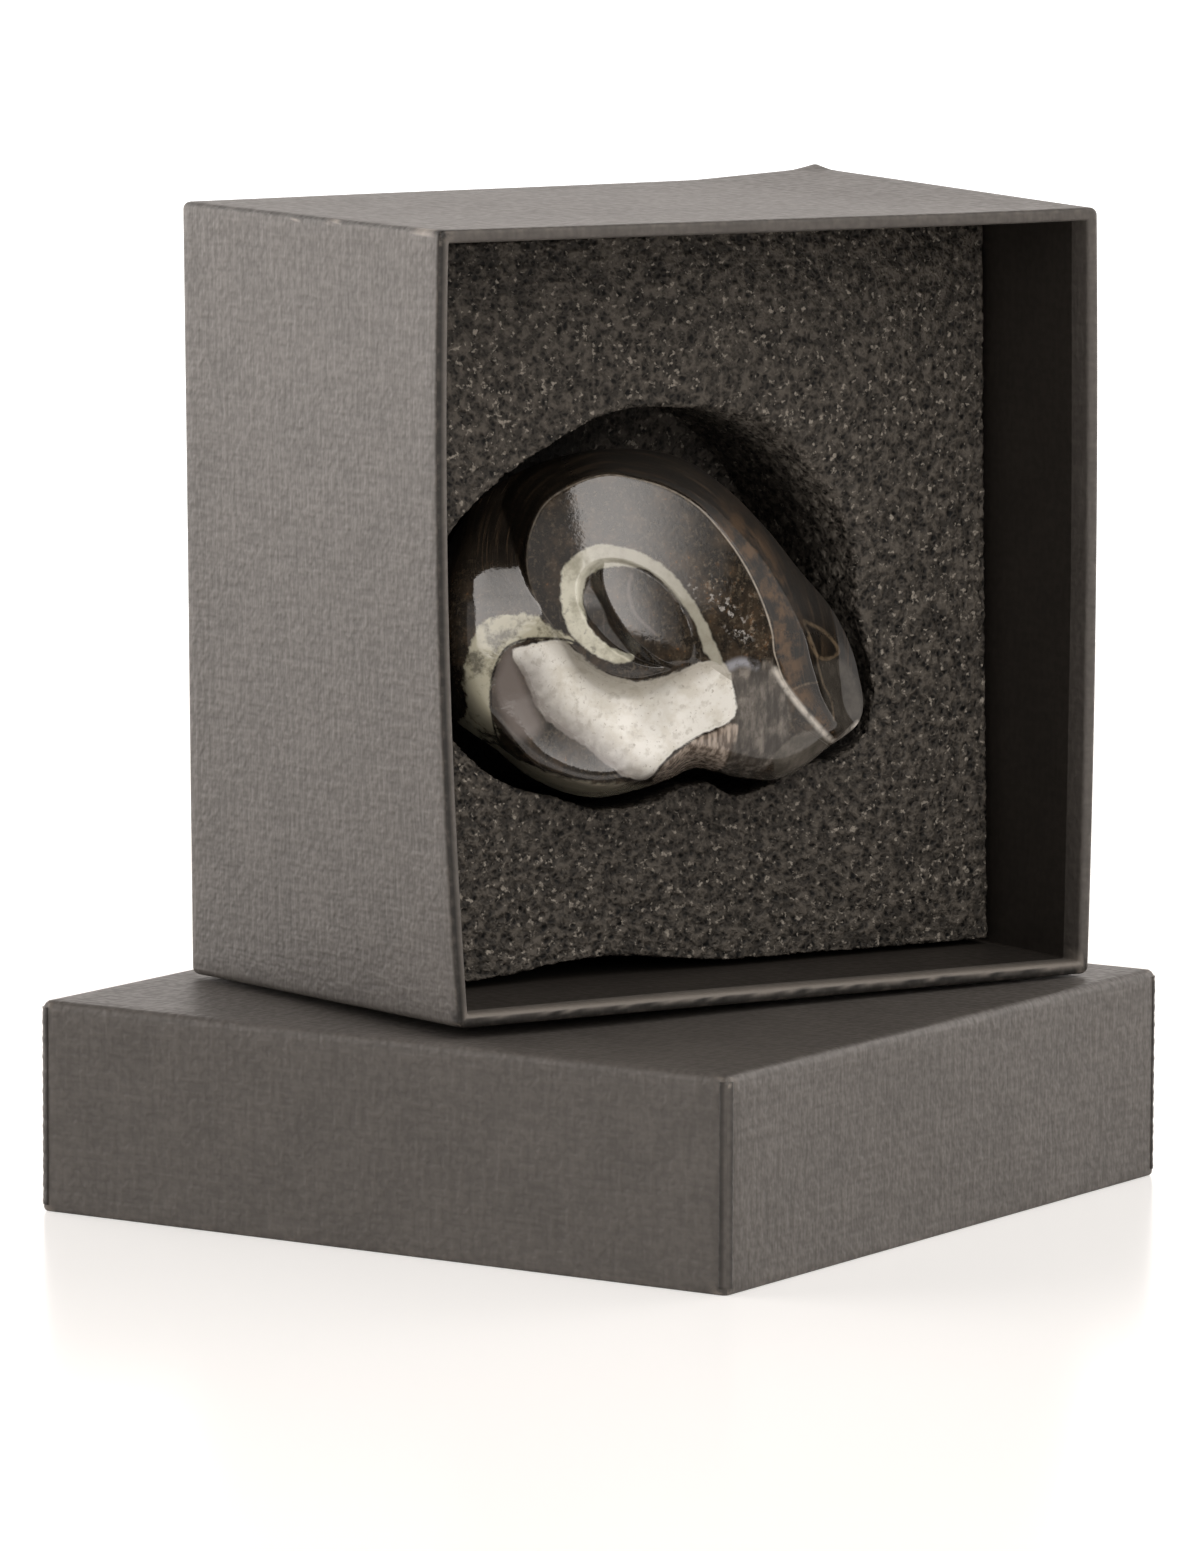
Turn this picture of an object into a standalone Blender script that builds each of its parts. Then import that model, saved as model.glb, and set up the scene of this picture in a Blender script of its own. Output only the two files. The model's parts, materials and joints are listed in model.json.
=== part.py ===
"""Polished goniatite lying in the foam of its small card box, which stands on its lid.

The tray stands on its side, open towards -Y, on the lid's closed face. X runs along the
opening, +Z is up, and the origin is on the ground under the middle of the lid.
"""
from math import cos, radians, sin, tan

import bmesh
import bpy
import numpy as np
from mathutils import Matrix, Vector

COLLECTION = "goniatite_in_box"
CLEARANCE = 0.0003

# Card box: board covered with paper
WALL = 0.0015
EDGE_RADIUS = 0.0005
EDGE_SEGMENTS = 2
EDGE_LEAST_ANGLE = radians(40)
LID_SIDE = 0.0930
LID_HEIGHT = 0.0244
LID_TURN = radians(22.8)
TRAY_WIDTH = 0.0884
TRAY_HEIGHT = 0.0896
TRAY_DEPTH = 0.0558
TRAY_CENTRE_X = 0.0063
TRAY_FRONT_Y = -0.0252
TRAY_BASE_Z = LID_HEIGHT + CLEARANCE
# The covered board has dried a little out of square: how far each corner has moved, (x, z)
FRONT_TOP_LEFT_PULL = (-0.0014, 0.0002)
FRONT_BOTTOM_LEFT_PULL = (0.0014, 0.0010)
FRONT_TOP_RIGHT_PULL = (0.0002, -0.0007)
BACK_BOTTOM_LEFT_PULL = (0.0007, 0.0000)
CORNER_REACH = 0.0060

# Foam block and the arched hole cut in it; hole places are from the tray's bottom middle
FOAM_RECESS = 0.0187
FOAM_RECESS_BELOW = 0.0163
FOAM_BOW = 0.0015
FOAM_BOW_CENTRE = -0.0125
FOAM_BOW_HALF = 0.0190
FOAM_EDGE_POINTS = 25
HOLE_DEPTH = 0.0200
HOLE_CENTRE = (-0.0050, 0.0400)
# Radius of the hole about its centre as cut, by degrees from +X
HOLE_RIM = (
    (3, 0.0285), (22, 0.0295), (41, 0.0290), (58, 0.0285), (78, 0.0269), (100, 0.0269),
    (120, 0.0268), (140, 0.0287), (154, 0.0306), (172, 0.0308), (190, 0.0300), (210, 0.0262),
    (235, 0.0205), (270, 0.0165), (300, 0.0190), (322, 0.0250), (335, 0.0315), (346, 0.0315),
)
HOLE_SIDES = 72
# The stone presses the hole's lower edge outwards: this much room, felt over this angle
STONE_ROOM = 0.0004
STONE_FELT_OVER = radians(8)

# The stone lies tilted in the hole: u runs along its long side, v up it, w out of its flank
STONE_TURN = radians(33.9)
STONE_TIP = radians(7.6)
STONE_EYE = (0.0013, -0.0048, 0.0670)
STONE_LEAN = tan(radians(17))
STONE_BACK = 0.0140

# Each curve below gives a value by degrees about the eye of the coil, counted from u.
# The coil's crest starts and ends at COIL_START, so the open curves run from there.
COIL_START = -33
# Radius of the stone's rim
STONE_RIM = (
    (2, 0.0226), (16, 0.0196), (37, 0.0180), (58, 0.0182), (76, 0.0192), (97, 0.0198),
    (114, 0.0206), (130, 0.0218), (144, 0.0228), (163, 0.0234), (182, 0.0240), (198, 0.0243),
    (210, 0.0238), (220, 0.0223), (236, 0.0219), (256, 0.0209), (270, 0.0193), (280, 0.0185),
    (292, 0.0182), (301, 0.0208), (311, 0.0240), (327, 0.0262), (336, 0.0278), (348, 0.0257),
)
# Radius of the inner whorl's crest, which turns into the seam between the whorls
CREST = (
    (-33, 0.0260), (-25, 0.0190), (-16, 0.0162), (-5, 0.0151), (10, 0.0140), (30, 0.0134),
    (48, 0.0136), (64, 0.0144), (80, 0.0152), (91, 0.0158), (103, 0.0167), (117, 0.0169),
    (130, 0.0168), (142, 0.0157), (155, 0.0141), (168, 0.0122), (181, 0.0104), (198, 0.0086),
    (223, 0.0075), (248, 0.0070), (270, 0.0067), (292, 0.0066), (312, 0.0072), (327, 0.0084),
)
# Slope of the side beyond the crest, out to the keel line, and how far out that line is
CREST_SLOPE = (
    (-33, 0.50), (-20, 0.45), (10, 0.60), (50, 0.95), (90, 1.10), (125, 1.00), (160, 0.90),
    (200, 1.10), (270, 1.30), (327, 1.00),
)
KEEL_OFFSET = (
    (-33, 0.0055), (-24, 0.0049), (-14, 0.0044), (4, 0.0031), (30, 0.0020), (60, 0.0012),
    (327, 0.0012),
)
KEEL_SLOPE = 1.7
# Outer whorl: its height along the ridge, which sinks to RIDGE_LEAST above the shoulder
RIDGE_HEIGHT = (
    (-33, 0.0020), (60, 0.0020), (108, 0.0020), (135, 0.0080), (155, 0.0106), (185, 0.0108),
    (200, 0.0114), (215, 0.0122), (235, 0.0127), (255, 0.0125), (280, 0.0114), (310, 0.0101),
    (327, 0.0085),
)
RIDGE_LEAST = 0.0016
SHOULDER_HEIGHT = 0.0107
SHOULDER_FROM = -0.0010
SHOULDER_SAG = 46.0
SHOULDER_SOFTNESS = 0.0008
# Where the ridge is between crest and rim, how squarely the side falls beyond it (a power),
# and how much lower the seam with the inner whorl lies
RIDGE_SHARE = (
    (-33, 0.50), (90, 0.35), (140, 0.36), (175, 0.36), (192, 0.48), (205, 0.62), (224, 0.82),
    (250, 0.86), (270, 0.88), (282, 0.82), (293, 0.70), (306, 0.58), (327, 0.50),
)
RIDGE_FALL = ((-33, 2.2), (120, 2.2), (155, 4.5), (185, 4.5), (210, 2.6), (327, 2.2))
SEAM_DEPTH = (
    (-33, 0.0), (120, 0.0), (168, 0.0), (188, 0.0003), (205, 0.0011), (225, 0.0027),
    (255, 0.0038), (280, 0.0031), (300, 0.0020), (318, 0.0009), (327, 0.0),
)
RIDGE_ROUNDING = 0.45
SEAM_REACH = -0.2
# From this angle round to the coil's start the outer whorl runs into the inner one's flank
WHORLS_JOIN_FROM = 265
# Flank of the inner whorl: a low dome over the point FLANK_PEAK
FLANK_HEIGHT = 0.0118
FLANK_SAG = 10.0
FLANK_PEAK = (0.0005, 0.0010)

# Eye of the coil: an oval dome in an oval dish, (half length, half width), middle and slant;
# the dome is tilted, falling this much towards u and v
DISH_HALF = (0.0076, 0.0049)
DISH_MIDDLE = (-0.0006, 0.0006)
DISH_SLANT = radians(-40)
DISH_DEPTH = 0.0014
DISH_WALL = 0.16
EYE_HALF = (0.0074, 0.0033)
EYE_MIDDLE = (0.0009, 0.0010)
EYE_SLANT = radians(-52)
EYE_RISE = 0.00014
EYE_TILT = (-0.064, -0.11)
EYE_DROP = 0.0050

EDGE_SOFTNESS = 0.0002
RIM_POWER = 24
STONE_SPOKES = 96
RINGS_TO_CREST = 14
RINGS_TO_RIM = 11
RINGS_ON_BACK = 7
# The rings follow the crest, then swing out to the rim before the coil's start
RINGS_SWING_FROM = 300
RINGS_NEAR_RIM = 0.93

STONE_COLOUR = (0.045, 0.038, 0.032)
FOAM_COLOUR = (0.030, 0.028, 0.026)
PAPER_COLOUR = (0.105, 0.094, 0.088)


def clear_scene():
    for old in list(bpy.data.objects):
        bpy.data.objects.remove(old, do_unlink=True)


def new_collection(name):
    collection = bpy.data.collections.new(name)
    bpy.context.scene.collection.children.link(collection)
    return collection


def principled(name, colour, roughness):
    material = bpy.data.materials.new(name)
    material.use_nodes = True
    shader = material.node_tree.nodes["Principled BSDF"]
    shader.inputs["Base Color"].default_value = (*colour, 1.0)
    shader.inputs["Roughness"].default_value = roughness
    shader.inputs["Metallic"].default_value = 0.0
    return material


def add_object(name, mesh, collection, material=None):
    body = bpy.data.objects.new(name, mesh)
    collection.objects.link(body)
    if material:
        mesh.materials.append(material)
    return body


def mesh_from(name, build):
    """Mesh made by the given bmesh steps, with its faces turned outwards."""
    work = bmesh.new()
    build(work)
    bmesh.ops.recalc_face_normals(work, faces=work.faces)
    mesh = bpy.data.meshes.new(name)
    work.to_mesh(mesh)
    work.free()
    return mesh


def box_mesh(name, low, high):
    size = [b - a for a, b in zip(low, high)]
    middle = [(a + b) / 2 for a, b in zip(low, high)]
    placed = Matrix.Translation(middle) @ Matrix.Diagonal((*size, 1.0))

    def build(work):
        bmesh.ops.create_cube(work, size=1.0, matrix=placed)

    return mesh_from(name, build)


def round_edges(body):
    bevel = body.modifiers.new("Rounded edges", "BEVEL")
    bevel.width = EDGE_RADIUS
    bevel.segments = EDGE_SEGMENTS
    bevel.limit_method = "ANGLE"
    bevel.angle_limit = EDGE_LEAST_ANGLE


def cut(body, cutter):
    boolean = body.modifiers.new("Cut " + cutter.name, "BOOLEAN")
    boolean.operation = "DIFFERENCE"
    boolean.solver = "EXACT"
    boolean.object = cutter
    cutter.hide_render = True
    cutter.display_type = "WIRE"


def smooth_curve(knots, at, closed_every=None):
    """Smooth curve through (position, value) knots; it closes on itself if a period is given."""
    x, y = np.array(sorted(knots), float).T
    if closed_every:
        at = np.mod(at - x[0], closed_every) + x[0]
        x = np.concatenate([[x[-1] - closed_every], x, x[:2] + closed_every])
        y = np.concatenate([[y[-1]], y, y[:2]])
    slope = np.gradient(y, x)
    i = np.clip(np.searchsorted(x, at, side="right") - 1, 0, len(x) - 2)
    h = x[i + 1] - x[i]
    t = np.clip((at - x[i]) / h, 0.0, 1.0)
    start = (1 + 2 * t) * (1 - t) ** 2 * y[i] + t * (1 - t) ** 2 * h * slope[i]
    end = t * t * (3 - 2 * t) * y[i + 1] - t * t * (1 - t) * h * slope[i + 1]
    return start + end


def soft_min(a, b, softness):
    """The lower of two heights, with the edge between them rounded."""
    blend = np.clip(0.5 + 0.5 * (b - a) / softness, 0.0, 1.0)
    return b + (a - b) * blend - softness * blend * (1 - blend) / 2


def soft_max(a, b, softness):
    return -soft_min(-a, -b, softness)


def smooth_step(share):
    share = np.clip(share, 0.0, 1.0)
    return share * share * (3 - 2 * share)


def oval(u, v, half, middle, slant):
    """Distance from the middle of a slanted oval, 1 on its edge."""
    along = (u - middle[0]) * cos(slant) + (v - middle[1]) * sin(slant)
    across = -(u - middle[0]) * sin(slant) + (v - middle[1]) * cos(slant)
    return np.hypot(along / half[0], across / half[1])


def stone_rim(degrees):
    return smooth_curve(STONE_RIM, degrees, closed_every=360)


def flank_dome(u, v):
    return FLANK_HEIGHT - FLANK_SAG * ((u - FLANK_PEAK[0]) ** 2 + (v - FLANK_PEAK[1]) ** 2)


def eye_of_coil(u, v):
    """Flank of the inner whorl with the dished and domed eye in it."""
    dish = oval(u, v, DISH_HALF, DISH_MIDDLE, DISH_SLANT)
    flank = flank_dome(u, v) - DISH_DEPTH * smooth_step((1 - dish) / DISH_WALL)
    eye = oval(u, v, EYE_HALF, EYE_MIDDLE, EYE_SLANT)
    tilt = EYE_TILT[0] * (u - EYE_MIDDLE[0]) + EYE_TILT[1] * (v - EYE_MIDDLE[1])
    dome = tilt + np.where(eye < 1, EYE_RISE * (1 - eye ** 2), -EYE_DROP * (eye - 1))
    return soft_max(flank, flank_dome(u, v) + dome, EDGE_SOFTNESS)


def inner_whorl(degrees, radius, u, v):
    """The coil's last turn but one, which falls away beyond its crest in two steps."""
    crest = smooth_curve(CREST, degrees)
    turn = np.radians(degrees)
    crest_height = flank_dome(crest * np.cos(turn), crest * np.sin(turn))
    beyond = radius - crest
    keel = smooth_curve(KEEL_OFFSET, degrees)
    first = smooth_curve(CREST_SLOPE, degrees) * np.minimum(beyond, keel)
    second = KEEL_SLOPE * np.maximum(beyond - keel, 0)
    return soft_min(eye_of_coil(u, v), crest_height - first - second, EDGE_SOFTNESS)


def ridge_height(degrees, v):
    """Height of the last turn's ridge, which sinks towards the top of the stone."""
    shoulder = SHOULDER_HEIGHT - SHOULDER_SAG * np.maximum(v - SHOULDER_FROM, 0) ** 2
    ridge = soft_min(smooth_curve(RIDGE_HEIGHT, degrees), shoulder, SHOULDER_SOFTNESS)
    return soft_max(ridge, RIDGE_LEAST + 0 * v, SHOULDER_SOFTNESS)


def outer_whorl(degrees, radius, u, v):
    """The last turn: it rises from the seam to a ridge and rounds down to the rim."""
    crest, rim = smooth_curve(CREST, degrees), stone_rim(degrees)
    ridge = ridge_height(degrees, v)
    ridge_at = smooth_curve(RIDGE_SHARE, degrees)
    seam_depth = smooth_curve(SEAM_DEPTH, degrees)
    share = np.clip((radius - crest) / (rim - crest + CLEARANCE), SEAM_REACH, 1)
    up = share / ridge_at
    rise = ridge - seam_depth * (1 - (1 + RIDGE_ROUNDING) * up + RIDGE_ROUNDING * up ** 2)
    down = np.clip((share - ridge_at) / (1 - ridge_at), 0, 1)
    fall = ridge * (1 - down ** smooth_curve(RIDGE_FALL, degrees))
    join = smooth_step((degrees - WHORLS_JOIN_FROM) / (COIL_START + 360 - WHORLS_JOIN_FROM))
    return np.where(up < 1, rise, fall) * (1 - join) + flank_dome(u, v) * join


def stone_height(degrees, radius):
    """Height of the polished face over the stone's rim plane."""
    turn = np.radians(degrees)
    u, v = radius * np.cos(turn), radius * np.sin(turn)
    inner = inner_whorl(degrees, radius, u, v)
    height = soft_max(inner, outer_whorl(degrees, radius, u, v), EDGE_SOFTNESS)
    rim = stone_rim(degrees)
    return height * np.sqrt(np.clip(1 - (radius / rim) ** RIM_POWER, 0, 1))


def ring_radii(degrees):
    """Radii of the rings over the face, some inside the crest and some from it to the rim."""
    rim = stone_rim(degrees)
    swing = smooth_step((degrees - RINGS_SWING_FROM) / (COIL_START + 360 - RINGS_SWING_FROM))
    near_rim = RINGS_NEAR_RIM * rim
    guide = np.minimum(smooth_curve(CREST, degrees), near_rim) * (1 - swing) + near_rim * swing
    inside = [guide * k / RINGS_TO_CREST for k in range(1, RINGS_TO_CREST + 1)]
    shares = np.sin(np.linspace(0, np.pi / 2, RINGS_TO_RIM + 1))[1:]
    return inside + [guide + (rim - guide) * share for share in shares]


def stone_mesh():
    """Closed stone: rings about the eye over the polished face, then over the rounded back."""
    degrees = np.linspace(COIL_START, COIL_START + 360, STONE_SPOKES, endpoint=False)
    turn = np.radians(degrees)
    rim = stone_rim(degrees)
    rings = [(radius, stone_height(degrees, radius)) for radius in ring_radii(degrees)]
    for angle in np.linspace(0, np.pi / 2, RINGS_ON_BACK + 1)[1:-1]:
        rings.append((rim * np.cos(angle), np.full_like(rim, -STONE_BACK * np.sin(angle))))

    def point(u, v, height):
        return (u, v, height - STONE_LEAN * u)

    def build(work):
        loops = []
        for radius, height in rings:
            u, v = radius * np.cos(turn), radius * np.sin(turn)
            loops.append([work.verts.new(point(*place)) for place in zip(u, v, height)])
        top = work.verts.new(point(0.0, 0.0, float(stone_height(np.zeros(1), np.zeros(1))[0])))
        bottom = work.verts.new(point(0.0, 0.0, -STONE_BACK))
        for k in range(STONE_SPOKES):
            n = (k + 1) % STONE_SPOKES
            work.faces.new((top, loops[0][k], loops[0][n]))
            work.faces.new((bottom, loops[-1][n], loops[-1][k]))
            for inner, outer in zip(loops, loops[1:]):
                work.faces.new((inner[k], outer[k], outer[n], inner[n]))
        bmesh.ops.triangulate(work, faces=work.faces)

    return mesh_from("goniatite", build)


def stone_frame():
    """Places the stone's own u, v and w in the box."""
    turn, tip = STONE_TURN, STONE_TIP
    u = Vector((cos(turn), -sin(turn), 0))
    w = Vector((-sin(turn) * cos(tip), -cos(turn) * cos(tip), sin(tip)))
    v = w.cross(u)
    frame = Matrix((u, v, w)).transposed().to_4x4()
    return Matrix.Translation(STONE_EYE) @ frame


def make_goniatite(collection):
    material = principled("Polished stone", STONE_COLOUR, 0.18)
    stone = add_object("goniatite", stone_mesh(), collection, material)
    stone.matrix_world = stone_frame()
    stone.data.shade_smooth()
    return stone


def pull_corners(mesh, low, high):
    """Moves the tray's corners out of square."""
    pulls = {
        (low[0], low[1], high[2]): FRONT_TOP_LEFT_PULL,
        (low[0], low[1], low[2]): FRONT_BOTTOM_LEFT_PULL,
        (high[0], low[1], high[2]): FRONT_TOP_RIGHT_PULL,
        (low[0], high[1], low[2]): BACK_BOTTOM_LEFT_PULL,
    }
    for vertex in mesh.vertices:
        for corner, (dx, dz) in pulls.items():
            if (vertex.co - Vector(corner)).length < CORNER_REACH:
                vertex.co.x += dx
                vertex.co.z += dz


def tray_corners():
    low = (TRAY_CENTRE_X - TRAY_WIDTH / 2, TRAY_FRONT_Y, TRAY_BASE_Z)
    high = (TRAY_CENTRE_X + TRAY_WIDTH / 2, TRAY_FRONT_Y + TRAY_DEPTH, TRAY_BASE_Z + TRAY_HEIGHT)
    return low, high


def make_tray(collection, cutters):
    low, high = tray_corners()
    mesh = box_mesh("box_tray", low, high)
    pull_corners(mesh, low, high)
    material = principled("Covering paper of tray", PAPER_COLOUR, 0.6)
    tray = add_object("box_tray", mesh, collection, material)
    round_edges(tray)
    inner_low = (low[0] + WALL, low[1] - WALL, low[2] + WALL)
    inner_high = (high[0] - WALL, high[1] - WALL, high[2] - WALL)
    hollow = box_mesh("tray_hollow", inner_low, inner_high)
    pull_corners(hollow, (inner_low[0], low[1], inner_low[2]), inner_high)
    cut(tray, add_object("tray_hollow", hollow, cutters))
    return tray


def make_lid(collection, cutters):
    half = LID_SIDE / 2
    lid_mesh = box_mesh("box_lid", (-half, -half, 0), (half, half, LID_HEIGHT))
    material = principled("Covering paper of lid", PAPER_COLOUR, 0.6)
    lid = add_object("box_lid", lid_mesh, collection, material)
    lid.rotation_euler = (0, 0, LID_TURN)
    round_edges(lid)
    inner = half - WALL
    hollow = box_mesh("lid_hollow", (-inner, -inner, -WALL), (inner, inner, LID_HEIGHT - WALL))
    cutter = add_object("lid_hollow", hollow, cutters)
    cutter.rotation_euler = (0, 0, LID_TURN)
    cut(lid, cutter)
    return lid


def prism(name, outline, front_at, back):
    """Solid with the given (x, z) outline, from the front depth at each height to the back."""
    def build(work):
        face = work.faces.new([work.verts.new((x, front_at(z), z)) for x, z in outline])
        swept = bmesh.ops.extrude_face_region(work, geom=[face])
        for item in swept["geom"]:
            if isinstance(item, bmesh.types.BMVert):
                item.co.y = back

    return mesh_from(name, build)


def foam_front(z):
    """The foam's face stands a little forward at its foot."""
    share = (z - TRAY_BASE_Z) / TRAY_HEIGHT
    return TRAY_FRONT_Y + FOAM_RECESS_BELOW + (FOAM_RECESS - FOAM_RECESS_BELOW) * share


def foam_outline():
    """The block's outline: its lower edge bows up off the tray towards the left."""
    margin = WALL + 2 * CLEARANCE
    left = TRAY_CENTRE_X - TRAY_WIDTH / 2 + margin + FRONT_BOTTOM_LEFT_PULL[0]
    right = TRAY_CENTRE_X + TRAY_WIDTH / 2 - margin
    bottom = TRAY_BASE_Z + margin
    top = TRAY_BASE_Z + TRAY_HEIGHT - margin + FRONT_TOP_RIGHT_PULL[1]
    lower = []
    for x in np.linspace(left, right, FOAM_EDGE_POINTS):
        away = np.clip((x - TRAY_CENTRE_X - FOAM_BOW_CENTRE) / FOAM_BOW_HALF, -1, 1)
        lift = FOAM_BOW * (1 + np.cos(np.pi * away)) / 2
        corner = FRONT_BOTTOM_LEFT_PULL[1] * (right - x) / (right - left)
        lower.append((float(x), float(bottom + lift + corner)))
    return lower + [(right, top), (left, top)]


def hole_outline(stone):
    """The hole as cut, pressed wider wherever the stone lies against the foam."""
    centre_x, centre_z = TRAY_CENTRE_X + HOLE_CENTRE[0], TRAY_BASE_Z + HOLE_CENTRE[1]
    points = np.array([stone.matrix_world @ vertex.co for vertex in stone.data.vertices])
    sunk = points[points[:, 1] > foam_front(points[:, 2]) - 2 * CLEARANCE]
    across, up = sunk[:, 0] - centre_x, sunk[:, 2] - centre_z
    outline = []
    for angle in np.linspace(0, 2 * np.pi, HOLE_SIDES, endpoint=False):
        away = np.angle(np.exp(1j * (np.arctan2(up, across) - angle)))
        near = np.hypot(across, up)[np.abs(away) < STONE_FELT_OVER]
        pressed = near.max() + STONE_ROOM if len(near) else 0.0
        cut_to = smooth_curve(HOLE_RIM, np.degrees(angle), closed_every=360)
        radius = float(max(cut_to, pressed))
        outline.append((centre_x + radius * cos(angle), centre_z + radius * sin(angle)))
    return outline


def make_foam(collection, cutters, stone):
    back = TRAY_FRONT_Y + TRAY_DEPTH - WALL - CLEARANCE
    block = prism("foam_insert", foam_outline(), foam_front, back)
    material = principled("Charcoal foam", FOAM_COLOUR, 0.95)
    foam = add_object("foam_insert", block, collection, material)
    hole_floor = TRAY_FRONT_Y + FOAM_RECESS + HOLE_DEPTH
    hole = prism("foam_hole", hole_outline(stone), lambda z: TRAY_FRONT_Y, hole_floor)
    cut(foam, add_object("foam_hole", hole, cutters))
    return foam


def main():
    clear_scene()
    collection = new_collection(COLLECTION)
    cutters = new_collection("cutters")
    make_lid(collection, cutters)
    make_tray(collection, cutters)
    stone = make_goniatite(collection)
    make_foam(collection, cutters, stone)


main()
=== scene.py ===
"""Looks of the polished goniatite in the foam of its small card box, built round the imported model.

Lengths are in metres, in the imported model's frame: X runs along the tray's opening, the opening
faces -Y, +Z is up, and the origin is on the ground under the middle of the lid. Places on the
stone are in millimetres from the eye of its coil, (u, v), as seen square to its flank.
"""
import json
from math import cos, pi, radians, sin, tan

import bmesh
import bpy
import numpy as np
from mathutils import Matrix, Vector, noise

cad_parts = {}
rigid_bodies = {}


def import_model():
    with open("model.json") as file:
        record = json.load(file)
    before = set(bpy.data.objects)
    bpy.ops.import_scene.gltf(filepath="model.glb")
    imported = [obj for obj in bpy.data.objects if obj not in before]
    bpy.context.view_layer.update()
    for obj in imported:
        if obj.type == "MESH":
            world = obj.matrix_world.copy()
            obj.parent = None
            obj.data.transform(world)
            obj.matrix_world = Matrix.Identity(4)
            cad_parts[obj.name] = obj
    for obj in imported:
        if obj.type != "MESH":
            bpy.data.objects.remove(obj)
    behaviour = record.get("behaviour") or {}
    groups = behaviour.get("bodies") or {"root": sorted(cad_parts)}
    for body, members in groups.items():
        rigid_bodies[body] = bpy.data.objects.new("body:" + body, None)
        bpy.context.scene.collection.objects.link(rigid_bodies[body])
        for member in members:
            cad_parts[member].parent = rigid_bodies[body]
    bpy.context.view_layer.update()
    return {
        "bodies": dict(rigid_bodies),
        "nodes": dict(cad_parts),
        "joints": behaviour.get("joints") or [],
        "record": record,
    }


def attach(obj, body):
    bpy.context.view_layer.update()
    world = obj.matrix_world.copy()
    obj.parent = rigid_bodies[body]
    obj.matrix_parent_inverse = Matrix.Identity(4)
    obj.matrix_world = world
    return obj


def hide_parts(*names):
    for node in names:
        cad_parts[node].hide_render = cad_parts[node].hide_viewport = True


MM = 0.001

# Photograph's view
IMAGE_HEIGHT = 1551
FOCAL_PIXELS = 9390
SENSOR_HEIGHT = 36
CAMERA_PLACE = (-0.59687, -0.88829, 0.19107)
CAMERA_RIGHT = (0.83067141, -0.55675055, 0.00371966)
CAMERA_UP = (0.07037936, 0.11162854, 0.99125467)
CAMERA_CLIP = 10

# Card box: board covered with paper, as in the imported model
CLEARANCE = 0.0003
WALL = 0.0015
EDGE_RADIUS = 0.0005
CLOSED_EDGE_RADIUS = 0.0011
CORNER_RADIUS = 0.0009
LID_SIDE = 0.093
LID_HEIGHT = 0.0244
LID_TURN = radians(22.8)
TRAY_WIDTH = 0.0884
TRAY_HEIGHT = 0.0896
TRAY_DEPTH = 0.0558
TRAY_CENTRE_X = 0.0063
TRAY_FRONT_Y = -0.0252
TRAY_BASE_Z = LID_HEIGHT + CLEARANCE
# How far the tray's corners have moved out of square, (x, z), by (is right, is top, is back)
TRAY_PULLS = (
    ((0, 1, 0), (-0.0014, 0.0002)),
    ((0, 0, 0), (0.0014, 0.001)),
    ((1, 1, 0), (0.0002, -0.0007)),
    ((0, 0, 1), (0.0007, 0)),
)
# The tray's left and right sides bow out, and its back left edge stands out a little; its rim
# carries narrow strips of painted shade and painted highlight, and strips of paper lie round the lid's
# corners
TRAY_BOW = 0.0013
RIGHT_OUT = 0.0002
RIGHT_BOW = 0.0006
BACK_LEFT_OUT = 0.0003
BACK_LEFT_LEAN = 0.0004
BOARD_WAVE = 0.00006
WEAVE_SHIFT = (0.31, 0.17)
RIM_LINE = 0.0002
RIM_SHADE_WIDTH = 0.0008
FOOT_SHADED = 0.0009
STRIP_START = 0.0008
STRIP_STEPS = 64
STRIP_LIFT = 0.0001
STRIP_ANGLES = (-8, -2, 6, 18, 32, 45, 58, 72, 84, 92, 98)
STRIP_SHADE = (1, 1, 1, 0.7, 0, 0, 0, 0.5, 1, 1, 1)
SEAM_OPEN_AT = 0.027
SEAM_OPEN_REACH = 0.006
TRAY_SCUFFS = ((0.0034, 0.0016), (0.022, 0.0012), (0.03, 0.001))
LID_SCUFFS = ((0.0236, 0.0005),)
PAPER_TIP_RISE = 0.0006
PAPER_TIP_REACH = 0.0042
CORNER_WARP = 0.0009
CORNER_WARP_REACH = (0.018, 0.062, 0.03)
EDGE_WEAR = 0.0007
CORNER_WEAR = 0.0022
# How finely the boards are meshed
WALL_STEP = 0.0014
LINING_STEP = 0.0025
END_MARGIN = 0.001
SIDE_STEPS = 56
CORNER_STEPS = 5
LEAST_RADIUS = 0.0002

# Foam block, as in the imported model
FOAM_RECESS = 0.0187
FOAM_RECESS_BELOW = 0.0163
FOAM_BOW = 0.0015
FOAM_BOW_CENTRE = -0.0125
FOAM_BOW_HALF = 0.019
HOLE_DEPTH = 0.02
HOLE_CENTRE = (-0.005, 0.04)
HOLE_FLOOR_Y = TRAY_FRONT_Y + FOAM_RECESS + HOLE_DEPTH
FOAM_CELL = 0.0008
FOAM_BEND = 0.0006
FOAM_ROUGHNESS = 0.00045
FOAM_LUMPS = 0.00025
FOAM_RAYS = 760
FOAM_FACE_RINGS = 74
FOAM_EDGE = 0.0005
# The hole's edge is rounded, and rounder within some degrees of its upper right
FOAM_SOFT_AT = 40
FOAM_SOFT_WITHIN = 50
FOAM_LIP = 0.0007
FOAM_SOFT_LIP = 0.0018
FOAM_LIP_LIGHT = 0.012

# The stone lies tilted in the hole: u runs along its long side, v up it, w out of its flank
STONE_TURN = radians(33.9)
STONE_TIP = radians(7.6)
STONE_EYE = (0.0013, -0.0048, 0.067)
STONE_LEAN = tan(radians(17))
STONE_BACK = 0.014

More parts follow.
